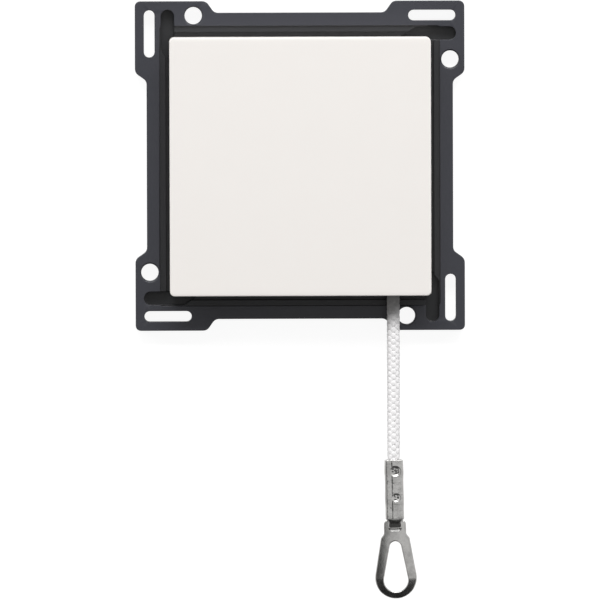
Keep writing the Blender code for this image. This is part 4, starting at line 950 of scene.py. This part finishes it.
# The front falls away a little towards its edge
for step in range(1, COVER_RIM_STEPS + 1):
    share = step / COVER_RIM_STEPS
    inset = COVER_EDGE + (COVER_RIM - COVER_EDGE) * share
    cover_rows.append(cover_ring(work, COVER_HALF - inset, COVER_TALL - inset, COVER_CORNER - COVER_EDGE,
                                 COVER_FRONT + COVER_FALL * (1 - share) ** 1.5))
cover_cap = closed_form("cover_cap", work, cover_rows)
# The notch is cut by a half round bar that reaches past the skirt on every side
bar = []
for step in range(NOTCH_STEPS + 1):
    turn = math.pi + math.pi * step / NOTCH_STEPS
    bar.append((CORD_X + NOTCH_RADIUS * math.cos(turn), CORD_Y + NOTCH_RADIUS * math.sin(turn)))
bar += [(x, COVER_SKIRT + NOTCH_PAST) for x in (CORD_X + NOTCH_RADIUS, CORD_X - NOTCH_RADIUS)]
work = bmesh.new()
bar_ends = [[work.verts.new((x, y, level)) for x, y in bar]
            for level in (-COVER_HALF - NOTCH_PAST, -COVER_HOLLOW + NOTCH_PAST)]
notch = closed_form("notch", work, bar_ends)
opening = cover_cap.modifiers.new("notch", "BOOLEAN")
opening.object = notch
opening.solver = "EXACT"
settle(cover_cap)
bpy.data.objects.remove(notch)
cover_cap.data.shade_smooth()
cover_cap.data.set_sharp_from_angle(angle=math.radians(35))
evened = cover_cap.modifiers.new("evened", "WEIGHTED_NORMAL")
evened.keep_sharp = True
settle(cover_cap)
# ABS in a warm white, from a polished mould: satin, with a trace of orange peel
cream_abs = moulded_plastic("cream_abs_moulded", ("#f2eeea", "#f0ece8"),
                            roughness=0.38, grit=0.7, depth=0.003, ior=1.54)
dress(cover_cap, cream_abs, "base", "cover_plastic", "cover")


# Wall, light and camera
# The plate lies against a plain white wall with a round hole for its box, seen only from the
# front. A broad soft lamp hangs above, and cards from dark to light show in the metal.
WALL_HALF = 0.9
WALL_HOLE = 0.0315
WALL_STEPS = 64
WALL_LEVEL = 0.0002
CAMERA_DISTANCE = 3.0
CAMERA_WIDTH = 0.12934
CAMERA_TARGET = Vector((-0.00007, -0.003, -0.02894))
CAMERA_AZIMUTH = math.radians(-0.8)
CAMERA_ELEVATION = math.radians(2.4)
CAMERA_ROLL = -0.0027
SENSOR_WIDTH = 36


def bare_tree(owner):
    """The node tree of a material or a world, with nothing in it yet."""
    owner.use_nodes = True
    owner.node_tree.nodes.clear()
    return owner.node_tree


def shown_rays(tree):
    """A socket that is 1 for rays from the camera, a reflection or a clear surface."""
    rays = add_node(tree, "ShaderNodeLightPath").outputs
    seen = add_node(tree, "ShaderNodeMath", {"operation": "MAXIMUM"},
                    {0: rays["Is Camera Ray"], 1: rays["Is Glossy Ray"]})
    shown = add_node(tree, "ShaderNodeMath", {"operation": "MAXIMUM"},
                     {0: seen.outputs[0], 1: rays["Is Transmission Ray"]})
    return shown.outputs[0]


# Matt wall paint, which also glows where it is seen, so that the wall looks white all over
wall_paint = bpy.data.materials.new("white_wall_paint")
tree = bare_tree(wall_paint)
paint = add_node(tree, "ShaderNodeBsdfDiffuse", inputs={"Color": linear("#7c7c7c")})
white = add_node(tree, "ShaderNodeEmission", inputs={"Strength": 0.92})
lit_paint = add_node(tree, "ShaderNodeAddShader", inputs={0: paint.outputs[0], 1: white.outputs[0]})
face = add_node(tree, "ShaderNodeMixShader",
                inputs={0: shown_rays(tree), 1: paint.outputs[0], 2: lit_paint.outputs[0]})
behind = add_node(tree, "ShaderNodeNewGeometry").outputs["Backfacing"]
clear = add_node(tree, "ShaderNodeBsdfTransparent", inputs={"Color": linear("#ffffff")})
one_sided = add_node(tree, "ShaderNodeMixShader", inputs={0: behind, 1: face.outputs[0], 2: clear.outputs[0]})
add_node(tree, "ShaderNodeOutputMaterial", inputs={"Surface": one_sided.outputs[0]})
work = bmesh.new()
border = []
hole = []
for step in range(WALL_STEPS):
    turn = 2 * math.pi * step / WALL_STEPS
    x, z = math.cos(turn), math.sin(turn)
    far = WALL_HALF / max(abs(x), abs(z))
    border.append(work.verts.new((far * x, WALL_LEVEL, far * z)))
    hole.append(work.verts.new((WALL_HOLE * x, WALL_LEVEL, WALL_HOLE * z)))
join_rows(work, [border, hole])
wall = from_work("wall", work)
wall.data.materials.append(wall_paint)

world = bpy.data.worlds.new("white_room")
bpy.context.scene.world = world
tree = bare_tree(world)
backdrop = add_node(tree, "ShaderNodeBackground", inputs={"Strength": 1.0})
fill = add_node(tree, "ShaderNodeBackground", inputs={"Strength": 0.24})
sky = add_node(tree, "ShaderNodeMixShader",
               inputs={0: shown_rays(tree), 1: fill.outputs[0], 2: backdrop.outputs[0]})
add_node(tree, "ShaderNodeOutputWorld", inputs={"Surface": sky.outputs[0]})

# Two smaller lamps lighten the sides, and one behind the wall shows the housing from the back
for name, energy, (wide, tall), place, aim, in_metal in (
        ("overhead_softbox", 27.3, (1.6, 0.55), (0.06, -1.00, 1.23), (0, 0, -0.01), True),
        ("left_reflector", 15.0, (0.8, 0.8), (-1.5, -0.5, 0.85), (0, 0, -0.03), False),
        ("right_reflector", 12.0, (0.8, 0.8), (1.5, -0.5, 0.85), (0, 0, -0.03), False),
        ("back_reflector", 18.0, (0.8, 0.8), (-0.6, 1.3, 0.9), (0, 0, -0.03), False)):
    light = bpy.data.lights.new(name, "AREA")
    light.shape = "RECTANGLE"
    light.size = wide
    light.size_y = tall
    light.energy = energy
    lamp = placed(name, light)
    lamp.location = place
    lamp.rotation_euler = (Vector(aim) - lamp.location).to_track_quat("-Z", "Y").to_euler()
    lamp.visible_camera = False
    lamp.visible_glossy = in_metal

# Dark, grey and light cards stand before the switch and below it, and only reflections see them
for name, level, (left, near, low), (right, far, high) in (
        ("left_card", 0.06, (-0.45, -1.5, -0.28), (-0.13, -1.5, 0.35)),
        ("right_card", 0.84, (-0.13, -1.5, -0.28), (1.3, -1.5, 0.35)),
        ("low_card", 0.025, (-0.45, -1.5, -1.2), (0.5, -1.5, -0.28)),
        ("far_left_card", 0.35, (-1.3, -1.5, -1.2), (-0.45, -1.5, 0.35)),
        ("low_right_card", 0.40, (0.5, -1.5, -1.2), (1.3, -1.5, -0.28)),
        ("floor_card", 0.08, (-1.3, -0.1, -1.2), (1.3, -1.5, -1.2))):
    paint = bpy.data.materials.new(name)
    tree = bare_tree(paint)
    grey = add_node(tree, "ShaderNodeEmission", inputs={"Color": linear("#ffffff"), "Strength": level})
    add_node(tree, "ShaderNodeOutputMaterial", inputs={"Surface": grey.outputs[0]})
    mesh = bpy.data.meshes.new(name)
    corners = ((left, near, low), (right, near, low), (right, far, high), (left, far, high))
    mesh.from_pydata(corners, [], [(0, 1, 2, 3)])
    mesh.materials.append(paint)
    card = placed(name, mesh)
    for ray in ("camera", "diffuse", "transmission", "shadow"):
        setattr(card, f"visible_{ray}", False)

scene = bpy.context.scene
scene.view_settings.view_transform = "Standard"
camera_data = bpy.data.cameras.new("photo_camera")
camera_data.sensor_width = SENSOR_WIDTH
camera_data.lens = SENSOR_WIDTH * CAMERA_DISTANCE / CAMERA_WIDTH
camera_data.clip_end = 20
camera = placed("photo_camera", camera_data)
back = Vector((math.sin(CAMERA_AZIMUTH) * math.cos(CAMERA_ELEVATION),
               -math.cos(CAMERA_AZIMUTH) * math.cos(CAMERA_ELEVATION), math.sin(CAMERA_ELEVATION)))
camera.location = CAMERA_TARGET + CAMERA_DISTANCE * back
camera.rotation_euler = ((-back).to_track_quat("-Z", "Y") @ Quaternion((0, 0, 1), CAMERA_ROLL)).to_euler()
scene.camera = camera
